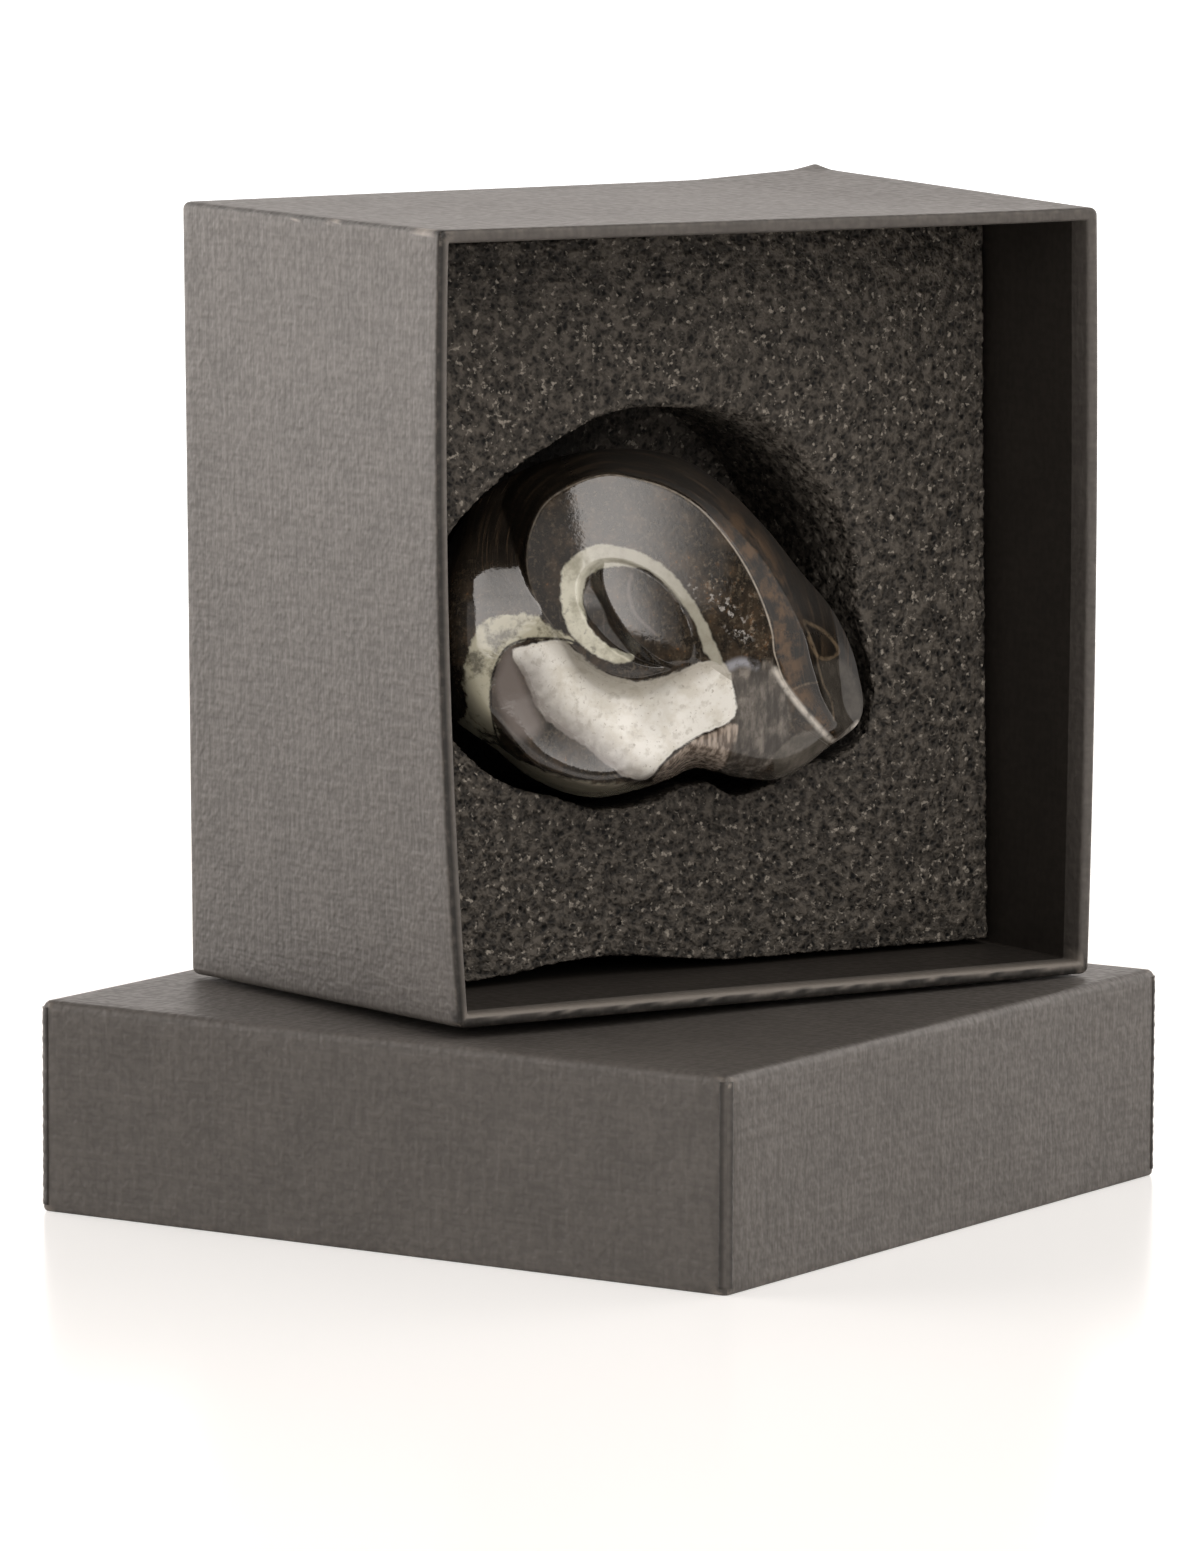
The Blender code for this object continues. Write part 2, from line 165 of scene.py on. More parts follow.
# Stone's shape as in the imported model: each curve gives a value by degrees about the eye
COIL_START = -33
COIL_END = 327
STONE_RIM = (
    (2, 0.0226), (16, 0.0196), (37, 0.018), (58, 0.0182), (76, 0.0192), (97, 0.0198), (114, 0.0206),
    (130, 0.0218), (144, 0.0228), (163, 0.0234), (182, 0.024), (198, 0.0243), (210, 0.0238), (220, 0.0223),
    (236, 0.0219), (256, 0.0209), (270, 0.0193), (280, 0.0185), (292, 0.0182), (301, 0.0208), (311, 0.024),
    (327, 0.0262), (336, 0.0278), (348, 0.0257),
)
CREST = (
    (-33, 0.026), (-25, 0.019), (-16, 0.0162), (-5, 0.0151), (10, 0.014), (30, 0.0134), (48, 0.0136),
    (64, 0.0144), (80, 0.0152), (91, 0.0158), (103, 0.0167), (117, 0.0169), (130, 0.0168), (142, 0.0157),
    (155, 0.0141), (168, 0.0122), (181, 0.0104), (198, 0.0086), (223, 0.0075), (248, 0.007), (270, 0.0067),
    (292, 0.0066), (312, 0.0072), (327, 0.0084),
)
CREST_SLOPE = (
    (-33, 0.5), (-20, 0.45), (10, 0.6), (50, 0.95), (90, 1.1), (125, 1.00), (160, 0.9), (200, 1.1),
    (270, 1.3), (327, 1.00),
)
KEEL_OFFSET = (
    (-33, 0.0055), (-24, 0.0049), (-14, 0.0044), (4, 0.0031), (30, 0.002), (60, 0.0012), (327, 0.0012),
)
KEEL_SLOPE = 1.7
RIDGE_HEIGHT = (
    (-33, 0.002), (60, 0.002), (108, 0.002), (135, 0.008), (155, 0.0106), (185, 0.0108), (200, 0.0114),
    (215, 0.0122), (235, 0.0127), (255, 0.0125), (280, 0.0114), (310, 0.0101), (327, 0.0085),
)
RIDGE_LEAST = 0.0016
SHOULDER_HEIGHT = 0.0107
SHOULDER_FROM = -0.001
SHOULDER_SAG = 46
SHOULDER_SOFTNESS = 0.0008
RIDGE_SHARE = (
    (-33, 0.5), (90, 0.35), (140, 0.36), (175, 0.36), (192, 0.48), (205, 0.62), (224, 0.82), (250, 0.86),
    (270, 0.88), (282, 0.82), (293, 0.7), (306, 0.58), (327, 0.5),
)
RIDGE_ROUNDING = 0.45
RIDGE_FALL = ((-33, 2.2), (120, 2.2), (155, 4.5), (185, 4.5), (210, 2.6), (327, 2.2))
SEAM_DEPTH = (
    (-33, 0), (120, 0), (168, 0), (188, 0.0003), (205, 0.0011), (225, 0.0027), (255, 0.0038),
    (280, 0.0031), (300, 0.002), (318, 0.0009), (327, 0),
)
SEAM_REACH = -0.2
WHORLS_JOIN_FROM = 265
FLANK_HEIGHT = 0.0118
FLANK_SAG = 10
FLANK_PEAK = (0.0005, 0.001)
DISH_HALF = (0.0076, 0.0049)
DISH_MIDDLE = (-0.0006, 0.0006)
DISH_SLANT = radians(-40)
DISH_DEPTH = 0.0014
DISH_WALL = 0.16
EYE_HALF = (0.0074, 0.0033)
EYE_MIDDLE = (0.0009, 0.001)
EYE_SLANT = radians(-52)
EYE_RISE = 0.00014
EYE_TILT = (-0.064, -0.11)
EYE_DROP = 0.005
EDGE_SOFTNESS = 0.0002
RIM_POWER = 24
STONE_SPOKES = 540
RINGS_TO_CREST = 84
RINGS_TO_RIM = 64
RINGS_ON_BACK = 22
RINGS_SWING_FROM = 300
RINGS_NEAR_RIM = 0.93

# Markings of the stone, in millimetres from the eye: edges that two of them share, then the
# outlines of areas
BAND_EDGE = (
    (-12.7, -2.4), (-14.8, -3.2), (-15.9, -4.6), (-16.5, -6.3), (-16.8, -8), (-16.6, -11.3), (-15.9, -14),
)
BROWN_EDGE = ((5, -14.4), (6.9, -13.2), (8.9, -12.5), (10.8, -11.7))
AREAS = {
    "pale_ring": (
        (9.4, -5), (7.5, -0.4), (5.7, 2.6), (3.5, 5.3), (0.7, 7.2), (-2.7, 8.2), (-5, 8.3), (-7, 7.4),
        (-8.6, 5.8), (-9, 3.4), (-8.7, 0.4), (-7.7, -1.9), (-5.4, -3.9), (-3, -5), (-1.2, -4.9),
        (-0.7, -4.1), (-2.7, -3.5), (-4.5, -2.4), (-5.8, -0.9), (-6.3, 0.7), (-6.5, 2.4), (-6.1, 4.4),
        (-5, 5.4), (-3.5, 5.8), (-1.3, 5.8), (0.8, 5.5), (2.7, 4), (4.7, 1.7), (6, 0.1), (6.8, -2.3),
        (7.6, -4.1),
    ),
    "white_crescent": (
        (-14.4, -3.7), (-11.7, -2.9), (-9.2, -2.4), (-7.4, -3.6), (-5.5, -5.1), (-2.7, -6.6), (0, -7.1),
        (2.9, -6.5), (5.6, -5.3), (8, -4.7), (9.9, -5.2), (10.7, -8), (11, -9.8), (10.6, -11.3),
        (8.7, -12.3), (6.7, -13.3), (4.7, -14.5), (2.9, -16), (1.5, -17.7), (0.3, -18.3), (-2, -17.8),
        (-4, -16.2), (-6.2, -14.4), (-8.8, -12.8), (-11.2, -10.8), (-12.3, -8.5), (-13.3, -6.1),
    ),
    "mottled_band": (
        (-18.3, -1.3), (-17.4, -0.3), (-14.4, 0.4), (-11.7, 0.2), (-10.1, -0.9), (-7.5, -2.7),
        (-10.1, -2.4), *BAND_EDGE, (-18.5, -13.4), (-20.7, -11.9), (-19.6, -10.8), (-19.6, -9),
        (-19.9, -7.3), (-19.5, -4.3),
    ),
    "brown_band": (
        (2.9, -16.2), *BROWN_EDGE, (11.1, -13), (10.2, -15), (9.6, -16.7), (7.4, -17.7), (4, -18.6),
        (1.3, -19.1),
    ),
    "grey_zone": (
        (9.9, -5.2), (11.4, -4.5), (13.4, -5), (15.1, -4.5), (15.8, -6.3), (17.1, -9.7), (17.1, -11.7),
        (16.8, -13.7), (14.8, -16.4), (12.7, -18.4), (10.1, -19.1), (9.4, -17), (10.7, -14.4),
        (11, -9.8),
    ),
    # The left band is a painted grey reflection beside the crescent
    "left_band": (
        (-14.6, -3.4), (-15.7, -4.8), (-16.3, -6.5), (-16.4, -8.2), (-15.8, -10.4), (-14, -13.5),
        (-11.2, -12.6), (-11.9, -10), (-12.9, -7.5), (-13.8, -5.5),
    ),
    "lower_facet": (
        (15.4, -15.7), (17.4, -13.4), (20.1, -12.5), (21.8, -14.4), (19.1, -16.7), (16.1, -18.6),
    ),
    "end_facet": (
        (20.1, -5), (22.9, -4.2), (24.4, -5.5), (25.6, -8.5), (25.5, -11.2), (22.9, -13.2), (21.8, -10.5),
        (20.9, -7.4),
    ),
    "eye_gap": (
        (-6.4, 3.4), (-4.9, 4.9), (-3.9, 3.2), (-3.2, 0.4), (-1.6, -2.4), (-0.8, -3.8), (-2.6, -3.4),
        (-4.6, -2.2), (-6, -0.4),
    ),
    "lower_border": (
        (-17.8, -14), (-15.9, -14.4), (-12.7, -16.4), (-9.4, -17.7), (-6, -18.6), (0.3, -18.7),
        (1.5, -19.1), (-1.3, -20.9), (-4.7, -21.2), (-8.7, -20.1), (-12.7, -18), (-16.5, -15.5),
    ),
}
# Lines on the stone, open; the cross line is a part of the keel lines
LINES = {
    # Along the cream fade line the cream is given painted shade
    "cream_fade": (
        (-13.5, -7), (-12.2, -9.6), (-9.6, -12.6), (-6.6, -14.8), (-4.2, -16.8), (-1.6, -18.8),
    ),
    "suture": (
        (-7, -3), (-8.1, -2.5), (-10.1, -2.3), *BAND_EDGE, (-14.4, -15.4), (-12.1, -16.5),
        (-9.4, -17.5), (-6, -18.2), (-4.5, -17.7), (-3.2, -17), (-2, -18), (0.3, -18.4),
        (1.5, -17.9), (2.9, -16.2), *BROWN_EDGE,
    ),
    "keel_lines": ((18.8, -0.3), (20, -3), (20.5, -5.3), (21.1, -7.3), (22, -9), (22.3, -11.3)),
    "cross_line": ((17.3, -8), (18.8, -7.3), (20.3, -7)),
    "eye_arc": ((-1, 5), (-1.3, 3), (-0.6, 0.6), (1.6, -1.6)),
    "grey_top": ((10.2, -5.3), (11.6, -4.8), (13.2, -5.2)),
    "cut_edge": (
        (15.4, -5.6), (16.5, -7.4), (18.2, -9.6), (20, -11.6), (21.7, -13.3), (22.8, -13.8),
        (24, -12.8), (25.3, -11.6),
    ),
    "rust_loop": (
        (18.8, 0), (21.1, -1.1), (22.5, -2.5), (22.8, -3.6), (21.4, -4.3), (20.2, -3.8), (19.3, -1.9),
    ),
    "rust_specks": ((8.6, 4.6), (11.6, 1.6), (13.6, -1.6), (14, -4.2), (16.8, -2.6), (18.6, 2)),
    "white_specks": ((6.6, 3.6), (8.4, 3.2), (9, 2.4), (11.6, -1.4)),
}
# Distance given to points that aren't on the stone's face
OFF_FACE = 9
# How much of the crest line, pale shell with a painted highlight, shows by degrees about the eye
CREST_SHOW = (
    (-33, 1), (-8, 0.9), (25, 0.8), (60, 0.7), (95, 0.55), (120, 0.45), (150, 0.3), (185, 0.15),
    (205, 0), (327, 0),
)

# Studio: brightness of the room by direction, and softboxes as name, place, aim, roll in
# degrees, size, power, and how bright the right side is beside the left
ROOM_BACK_LEFT = 3.1
ROOM_BACK_RIGHT = 1.5
ROOM_RIGHT = 2
ROOM_LEFT = 0.15
ROOM_FRONT_LEFT = 0.48
ROOM_DARK_FROM = (0.45, 0.75)
SOFTBOXES = (
    ("front_softbox", (0.1, -0.75, 0.72), (0, 0, 0.07), -9, (0.66, 1.3), 9.8, 0.12),
    ("right_softbox", (1, -0.45, 0.35), (0, 0, 0.05), 0, (1.3, 1.3), 3.6, 1),
)
SOFTBOX_TINT = (1, 0.95, 0.91)
ROOM_TINT = (1, 0.94, 0.9)
FLOOR_RADIUS = 0.55

# Colours of the surfaces as they reflect light, 0 to 255
PAPER = (90, 86, 82)
LINER = (50, 46, 42)
FOAM = (104, 98, 90)
STONE_DARK = (44, 40, 35)
STONE_BROWN = (74, 63, 51)
CREAM = (252, 250, 242)
GREEN_CREAM = (190, 186, 164)


def srgb(colour, share=1):
    """Linear colour from 0-255 display values, scaled by a share."""
    values = [c / 255 for c in colour]
    linear = [v / 12.92 if v <= 0.04045 else ((v + 0.055) / 1.055) ** 2.4 for v in values]
    return (*(v * share for v in linear), 1)


# Curves and distances

def curve(knots, at, closed_every=None):
    """Smooth curve through (position, value) knots; it closes on itself if a period is given."""
    x, y = np.array(sorted(knots), float).T
    if closed_every:
        at = np.mod(at - x[0], closed_every) + x[0]
        x = np.concatenate([[x[-1] - closed_every], x, x[:2] + closed_every])
        y = np.concatenate([[y[-1]], y, y[:2]])
    slope = np.gradient(y, x)
    i = np.clip(np.searchsorted(x, at, side="right") - 1, 0, len(x) - 2)
    h = x[i + 1] - x[i]
    t = np.clip((at - x[i]) / h, 0, 1)
    start = (1 + 2 * t) * (1 - t) ** 2 * y[i] + t * (1 - t) ** 2 * h * slope[i]
    end = t * t * (3 - 2 * t) * y[i + 1] - t * t * (1 - t) * h * slope[i + 1]
    return start + end


def soft_min(a, b, softness):
    """The lower of two heights, with the edge between them rounded."""
    blend = np.clip(0.5 + 0.5 * (b - a) / softness, 0, 1)
    return b + (a - b) * blend - softness * blend * (1 - blend) / 2


def soft_max(a, b, softness):
    return -soft_min(-a, -b, softness)


def smooth(share):
    share = np.clip(share, 0, 1)
    return share * share * (3 - 2 * share)


def oval(u, v, half, middle, slant):
    """Distance from the middle of a slanted oval, 1 on its edge."""
    along = (u - middle[0]) * cos(slant) + (v - middle[1]) * sin(slant)
    across = -(u - middle[0]) * sin(slant) + (v - middle[1]) * cos(slant)
    return np.hypot(along / half[0], across / half[1])


def rounded_line(points, closed, steps=5):
    """Points of a smooth line through the given points."""
    knots = np.array(points, float)
    if closed:
        knots = np.vstack([knots[-1], knots, knots[:2]])
    else:
        knots = np.vstack([2 * knots[0] - knots[1], knots, 2 * knots[-1] - knots[-2]])
    t = np.arange(steps)[:, None] / steps
    line = []
    for a, b, c, d in zip(knots, knots[1:], knots[2:], knots[3:]):
        bend = (2 * a - 5 * b + 4 * c - d) * t ** 2 + (3 * b - a - 3 * c + d) * t ** 3
        line.append(0.5 * (2 * b + (c - a) * t + bend))
    return np.concatenate(line if closed else line + [knots[-2:-1]])


def distance_to_line(u, v, points, closed=False):
    """Distance of each (u, v) from a smooth line, in the line's units."""
    line = rounded_line(points, closed)
    if closed:
        line = np.vstack([line, line[:1]])
    nearest = np.full(u.shape, np.inf)
    for (ax, ay), (bx, by) in zip(line, line[1:]):
        dx, dy = bx - ax, by - ay
        t = np.clip(((u - ax) * dx + (v - ay) * dy) / (dx * dx + dy * dy), 0, 1)
        nearest = np.minimum(nearest, np.hypot(u - ax - t * dx, v - ay - t * dy))
    return nearest


def depth_inside(u, v, outline):
    """Distance from a closed smooth outline, positive inside it."""
    line = rounded_line(outline, True)
    inside = np.zeros(u.shape, bool)
    for (ax, ay), (bx, by) in zip(line, np.roll(line, -1, axis=0)):
        if ay != by:
            inside ^= ((ay > v) != (by > v)) & (u < (bx - ax) * (v - ay) / (by - ay) + ax)
    distance = distance_to_line(u, v, outline, closed=True)
    return np.where(inside, distance, -distance)


# Meshes

def loft(name, loops):
    """Closed mesh over loops of points, each with the same count, flat at both ends; and its points."""
    count = len(loops[0])
    points = np.concatenate(loops)
    rows = np.arange(len(loops) - 1)[:, None] * count
    k = np.arange(count)
    n = (k + 1) % count
    quads = np.stack([rows + k, rows + n, rows + count + n, rows + count + k], -1).reshape(-1, 4)
    ends = [list(range(count))[::-1], list(range(len(points) - count, len(points)))]
    mesh = bpy.data.meshes.new(name)
    mesh.from_pydata(points.tolist(), [], quads.tolist() + ends)
    mesh.update()
    return mesh, points


def set_points(mesh, points):
    mesh.vertices.foreach_set("co", points.astype(np.float32).ravel())
    mesh.update()


def mark(mesh, name, values):
    """Gives each point its value of the named attribute, which is made if the mesh has none."""
    layer = mesh.attributes.get(name) or mesh.attributes.new(name, "FLOAT", "POINT")
    layer.data.foreach_set("value", np.asarray(values, np.float32).ravel())


def add_object(name, data):
    body = bpy.data.objects.new(name, data)
    bpy.context.scene.collection.objects.link(body)
    return body


def add_piece(mesh, materials, replaced=None):
    """Adds the mesh to the model as a piece of its name, with its faces turned outwards."""
    work = bmesh.new()
    work.from_mesh(mesh)
    bmesh.ops.recalc_face_normals(work, faces=work.faces)
    work.to_mesh(mesh)
    work.free()
    for material in materials:
        mesh.materials.append(material)
    mesh.shade_smooth()
    body = add_object(mesh.name, mesh)
    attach(body, "root")
    if replaced:
        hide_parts(replaced)
    return body


def noise_at(points, scale, seed=0):
    """Smooth noise of about -1 to 1 at each point; scale is the size of its lumps."""
    shift = Vector((seed, 2 * seed, 3 * seed))
    return np.array([noise.noise(Vector(p) / scale + shift) for p in points])


# Materials: a value is a number, a colour of 0 to 255 or a node's output, and a new node goes into
# the tree of the outputs that it works on

def new_material(name):
    material = bpy.data.materials.new(name)
    material.use_nodes = True
    tree = material.node_tree
    return material, tree, tree.nodes["Principled BSDF"]


def feed(owner, values):
    """Gives a node's inputs plain values, or links them to other nodes' outputs."""
    for name, value in values.items():
        if isinstance(value, bpy.types.NodeSocket):
            owner.id_data.links.new(value, owner.inputs[name])
        else:
            owner.inputs[name].default_value = value


def node(tree, kind, inputs=None, **settings):
    made = tree.nodes.new("ShaderNode" + kind)
    for name, value in settings.items():
        setattr(made, name, value)
    feed(made, inputs or {})
    return made


def tree_of(*values):
    """The node tree of the first value that is a node's output."""
    return next(value.id_data for value in values if isinstance(value, bpy.types.NodeSocket))


def math(operation, a, b):
    return node(tree_of(a, b), "Math", {0: a, 1: b}, operation=operation).outputs[0]


def times(*values):
    """Product of the values."""
    made = values[0]
    for value in values[1:]:
        made = math("MULTIPLY", made, value)
    return made


def mix(share, a, b, blend="MIX"):
    """Colour a blended into b by a share; a Mix node's colours are its inputs 6 and 7."""
    a, b = (srgb(value) if isinstance(value, tuple) and len(value) == 3 else value for value in (a, b))
    inputs = {0: share, 6: a, 7: b}
    return node(tree_of(share, a, b), "Mix", inputs, data_type="RGBA", blend_type=blend).outputs[2]


def paint(body, colour, *shares):
    """Lays a colour over the body's by the product of the shares."""
    return mix(times(*shares), body, colour)


def ramp(value, low, high, to_low=0, to_high=1):
    """Maps low..high to to_low..to_high, smoothly and held at both ends."""
    inputs = {0: value, 1: low, 2: high, 3: to_low, 4: to_high}
    return node(value.id_data, "MapRange", inputs, interpolation_type="SMOOTHSTEP").outputs[0]


def texture(place, scale, detail=3, roughness=0.55):
    """Noise of one scale, or of a scale for each axis, which stretches its lumps."""
    if isinstance(scale, tuple):
        place = node(place.id_data, "Mapping", {"Vector": place, "Scale": scale}).outputs[0]
        scale = 1
    inputs = {"Vector": place, "Scale": scale, "Detail": detail, "Roughness": roughness}
    return node(place.id_data, "TexNoise", inputs).outputs["Fac"]


def attribute(tree, name):
    return node(tree, "Attribute", attribute_name=name).outputs["Fac"]


def area_mask(name, wobble, softness, reach):
    """1 inside the named area, with an edge that wobbles by a noise, in millimetres."""
    shifted = times(math("SUBTRACT", wobble, 0.5), reach)
    return ramp(math("ADD", attribute(wobble.id_data, name), shifted), -softness, softness)


def line_mask(tree, name, width):
    """1 on the named line, falling to 0 at its width, in millimetres."""
    return ramp(attribute(tree, name), 0, width, 1, 0)


def relief(shader, height, strength, distance):
    bump = node(shader.id_data, "Bump", {"Height": height, "Strength": strength, "Distance": distance})
    feed(shader, {"Normal": bump.outputs[0]})


def paper_material(name, colour, emboss):
    """Dark covering paper with a worn linen grain, rubbed pale on its edges, with painted highlights and
    painted shade by its marks.
    """
    material, tree, shader = new_material(name)
    place = node(tree, "UVMap", uv_map="paper").outputs[0]
    warp = texture(place, (1300, 160, 1), 1)
    weft = texture(place, (160, 1300, 1), 1)
    threads = math("ADD", math("ADD", warp, weft), times(texture(place, 1000, 1), 2))
    tone = ramp(threads, 1.5, 2.5, 0.88, 1.12)
    cloudy = ramp(texture(place, 120, 5), 0.3, 0.7, 0.92, 1.08)
    tinted = mix(1, colour, times(tone, cloudy), "MULTIPLY")
    # Painted highlights, together with real scuffs, by the pale mark; painted shade by the shade mark
    tinted = paint(tinted, (168, 160, 150), attribute(tree, "pale"))
    tinted = paint(tinted, (26, 24, 21), attribute(tree, "shade"), 0.9)
    rubbed = ramp(texture(place, 500, 4), 0.45, 0.65)
    tinted = paint(tinted, (150, 141, 131), attribute(tree, "wear"), rubbed)
    feed(shader, {"Base Color": tinted, "Roughness": ramp(threads, 1.6, 2.4, 0.52, 0.44)})
    relief(shader, threads, 1, emboss)
    return material


def foam_material():
    """Charcoal open-cell foam: pits with painted shade between short struts, a few with painted glints."""
    material, tree, shader = new_material("Charcoal foam")
    place = node(tree, "TexCoord").outputs["Object"]
    bending = node(tree, "TexNoise", {"Vector": place, "Scale": 1100, "Detail": 2})
    by = {0: bending.outputs["Color"], 1: (FOAM_BEND, FOAM_BEND, FOAM_BEND), 2: place}
    bent = node(tree, "VectorMath", by, operation="MULTIPLY_ADD").outputs[0]
    inputs = {"Vector": bent, "Scale": 1 / FOAM_CELL}
    cells = node(tree, "TexVoronoi", inputs, feature="DISTANCE_TO_EDGE").outputs["Distance"]
    lumps = ramp(texture(place, 860, 2), 0.38, 0.68, 0, 0.75)
    # Painted shade: the cells' hollows run to black, the struts and random lumps to the foam's colour
    light = math("ADD", ramp(cells, 0.02, 0.35, 0.35, 0), lumps)
    body = mix(light, (0, 0, 0), srgb(FOAM, 0.8))
    # Painted glints: a few struts are painted pale as though they catch the light
    specks = ramp(texture(place, 1250, 2), 0.6, 0.72, 0, 0.85)
    body = paint(body, (164, 157, 146), specks)
    body = paint(body, (14, 13, 11), attribute(tree, "hole_shade"), 0.92)
    body = paint(body, (190, 182, 170), attribute(tree, "lip_light"), light)
    feed(shader, {"Base Color": body, "Roughness": 0.6, "Specular IOR Level": 0.28})
    relief(shader, light, 0.7, 0.0003)
    return material


def dark_stone(tree, place, mottle, fine):
    """Dark calcite, mottled brown, with scattered specks and fine scratches of the polish."""
    body = mix(ramp(mottle, 0.42, 0.7), STONE_DARK, STONE_BROWN)
    grains = texture(place, 1700, 5, 0.7)
    body = paint(body, (98, 88, 74), ramp(grains, 0.5, 0.7, 0, 0.75))
    body = paint(body, (122, 88, 56), ramp(fine, 0.62, 0.7), ramp(mottle, 0.5, 0.62), 0.7)
    flecks = ramp(texture(place, 1150, 4, 0.65), 0.54, 0.66)
    tint = mix(ramp(fine, 0.42, 0.58), (128, 94, 64), (176, 164, 146))
    body = paint(body, tint, flecks, line_mask(tree, "rust_specks", 4), 0.5)
    scratched = texture(place, (2600, 2600, 260), 2)
    return paint(body, (112, 104, 94), ramp(scratched, 0.64, 0.74, 0, 0.35))


def side_of_whorl(tree, body, mottle):
    """Beyond the crest the shell is near black, with growth lines across the whorl and some rust."""
    beyond, around = attribute(tree, "beyond"), attribute(tree, "around")
    place = node(tree, "CombineXYZ", {0: beyond, 1: around}).outputs[0]
    striae = texture(place, (3.5, 0.05, 1), 3)
    streaked = mix(ramp(striae, 0.45, 0.8), (30, 27, 23), (70, 58, 46))
    rusty = times(ramp(mottle, 0.42, 0.62), ramp(beyond, 2, 4.5, 0.9, 0))
    streaked = paint(streaked, (98, 76, 54), rusty, ramp(around, 30, 70, 1, 0))
    return paint(body, streaked, ramp(beyond, 0, 0.5), ramp(around, 150, 180, 1, 0))


def grey_end(tree, body, place, wobble, mottle):
    """Grey end of the body chamber, streaked up and down, with its facets and the brown band."""
    streaks = texture(place, (900, 900, 320), 5)
    grey = mix(ramp(streaks, 0.38, 0.7), (64, 60, 55), (138, 131, 122))
    grey = paint(grey, (58, 52, 46), ramp(mottle, 0.42, 0.58, 0, 0.6))
    body = paint(body, grey, area_mask("grey_zone", wobble, 0.35, 1.6))
    edge = times(line_mask(tree, "grey_top", 0.9), ramp(mottle, 0.4, 0.6))
    body = paint(body, (176, 178, 186), edge, 0.8)
    facet = mix(ramp(mottle, 0.35, 0.7), (84, 80, 73), (122, 116, 107))
    body = paint(body, mix(0.6, facet, (36, 33, 30)), area_mask("end_facet", wobble, 0.4, 0.8))
    body = paint(body, facet, area_mask("lower_facet", wobble, 0.2, 0.8))
    border = mix(mottle, (128, 122, 106), (196, 190, 170))
    body = paint(body, border, area_mask("lower_border", wobble, 0.3, 1.2))
    ribs = texture(place, (1800, 1800, 400), 3)
    banded = mix(ramp(ribs, 0.35, 0.65), (108, 96, 86), (190, 176, 162))
    return paint(body, banded, area_mask("brown_band", wobble, 0.2, 0.8))


def shell_layers(tree, body, wobble, mottle, fine):
    """Pale shell: the pitted green-cream band, the white crescent and the ring round the eye, with a
    painted grey reflection beside the crescent and painted shade on the crescent and ring.
    """
    # Painted grey reflection on the band left of the crescent
    body = paint(body, (126, 118, 113), area_mask("left_band", wobble, 0.9, 0.6))
    green = mix(ramp(mottle, 0.36, 0.56), (104, 100, 84), GREEN_CREAM)
    body = paint(body, green, area_mask("mottled_band", wobble, 0.2, 1.4))
    cream = mix(ramp(mottle, 0.34, 0.56), (234, 230, 218), CREAM)
    cream = paint(cream, (200, 195, 182), ramp(wobble, 0.54, 0.68, 0, 0.6))
    cream = paint(cream, (150, 140, 122), ramp(fine, 0.62, 0.7, 0, 0.5))
    # Painted shade on the crescent next to the seam, where the inner whorl overhangs it
    cream = paint(cream, (150, 143, 127), ramp(attribute(tree, "beyond"), 0.6, 3.2, 0.65, 0))
    # Painted shade greying the cream towards its lower left edge, along the cream fade line
    uneven = ramp(wobble, 0.2, 0.6, 0.7, 1)
    cream = paint(cream, (122, 115, 110), line_mask(tree, "cream_fade", 4.8), uneven)
    body = paint(body, cream, area_mask("white_crescent", wobble, 0.15, 0.9))
    ring = mix(ramp(mottle, 0.34, 0.6), (184, 181, 160), (232, 230, 212))
    # Painted shade greys the ring's right side; grey veins are laid over it too
    dimmed = ramp(attribute(tree, "around"), 105, 165, 0.75, 0)
    shaded_side_and_veins = math("MAXIMUM", dimmed, ramp(wobble, 0.6, 0.72, 0, 0.7))
    ring = paint(ring, (146, 142, 129), shaded_side_and_veins)
    return paint(body, ring, area_mask("pale_ring", wobble, 0.16, 0.7))


def stone_lines(tree, body, wobble):
    """Suture, crest and keel lines, each fainter where the polish has worn it; the crest line is partly a
    painted highlight.
    """
    worn = ramp(wobble, 0.3, 0.6, 0.35, 1)
    body = paint(body, (32, 28, 24), line_mask(tree, "suture", 0.24))
    # The crest line is pale shell with a painted highlight on the ridge's edge, fading round the coil
    crest = times(line_mask(tree, "crest_line", 0.17), attribute(tree, "crest_show"))
    body = paint(body, (190, 180, 166), crest, worn)
    body = paint(body, (156, 140, 120), line_mask(tree, "keel_lines", 0.22), 0.45, worn)
    body = paint(body, (214, 208, 198), line_mask(tree, "cut_edge", 0.6), worn)
    body = paint(body, (150, 130, 104), line_mask(tree, "rust_loop", 0.35), worn, 0.5)
    return paint(body, (150, 140, 136), line_mask(tree, "eye_arc", 0.35), 0.3)


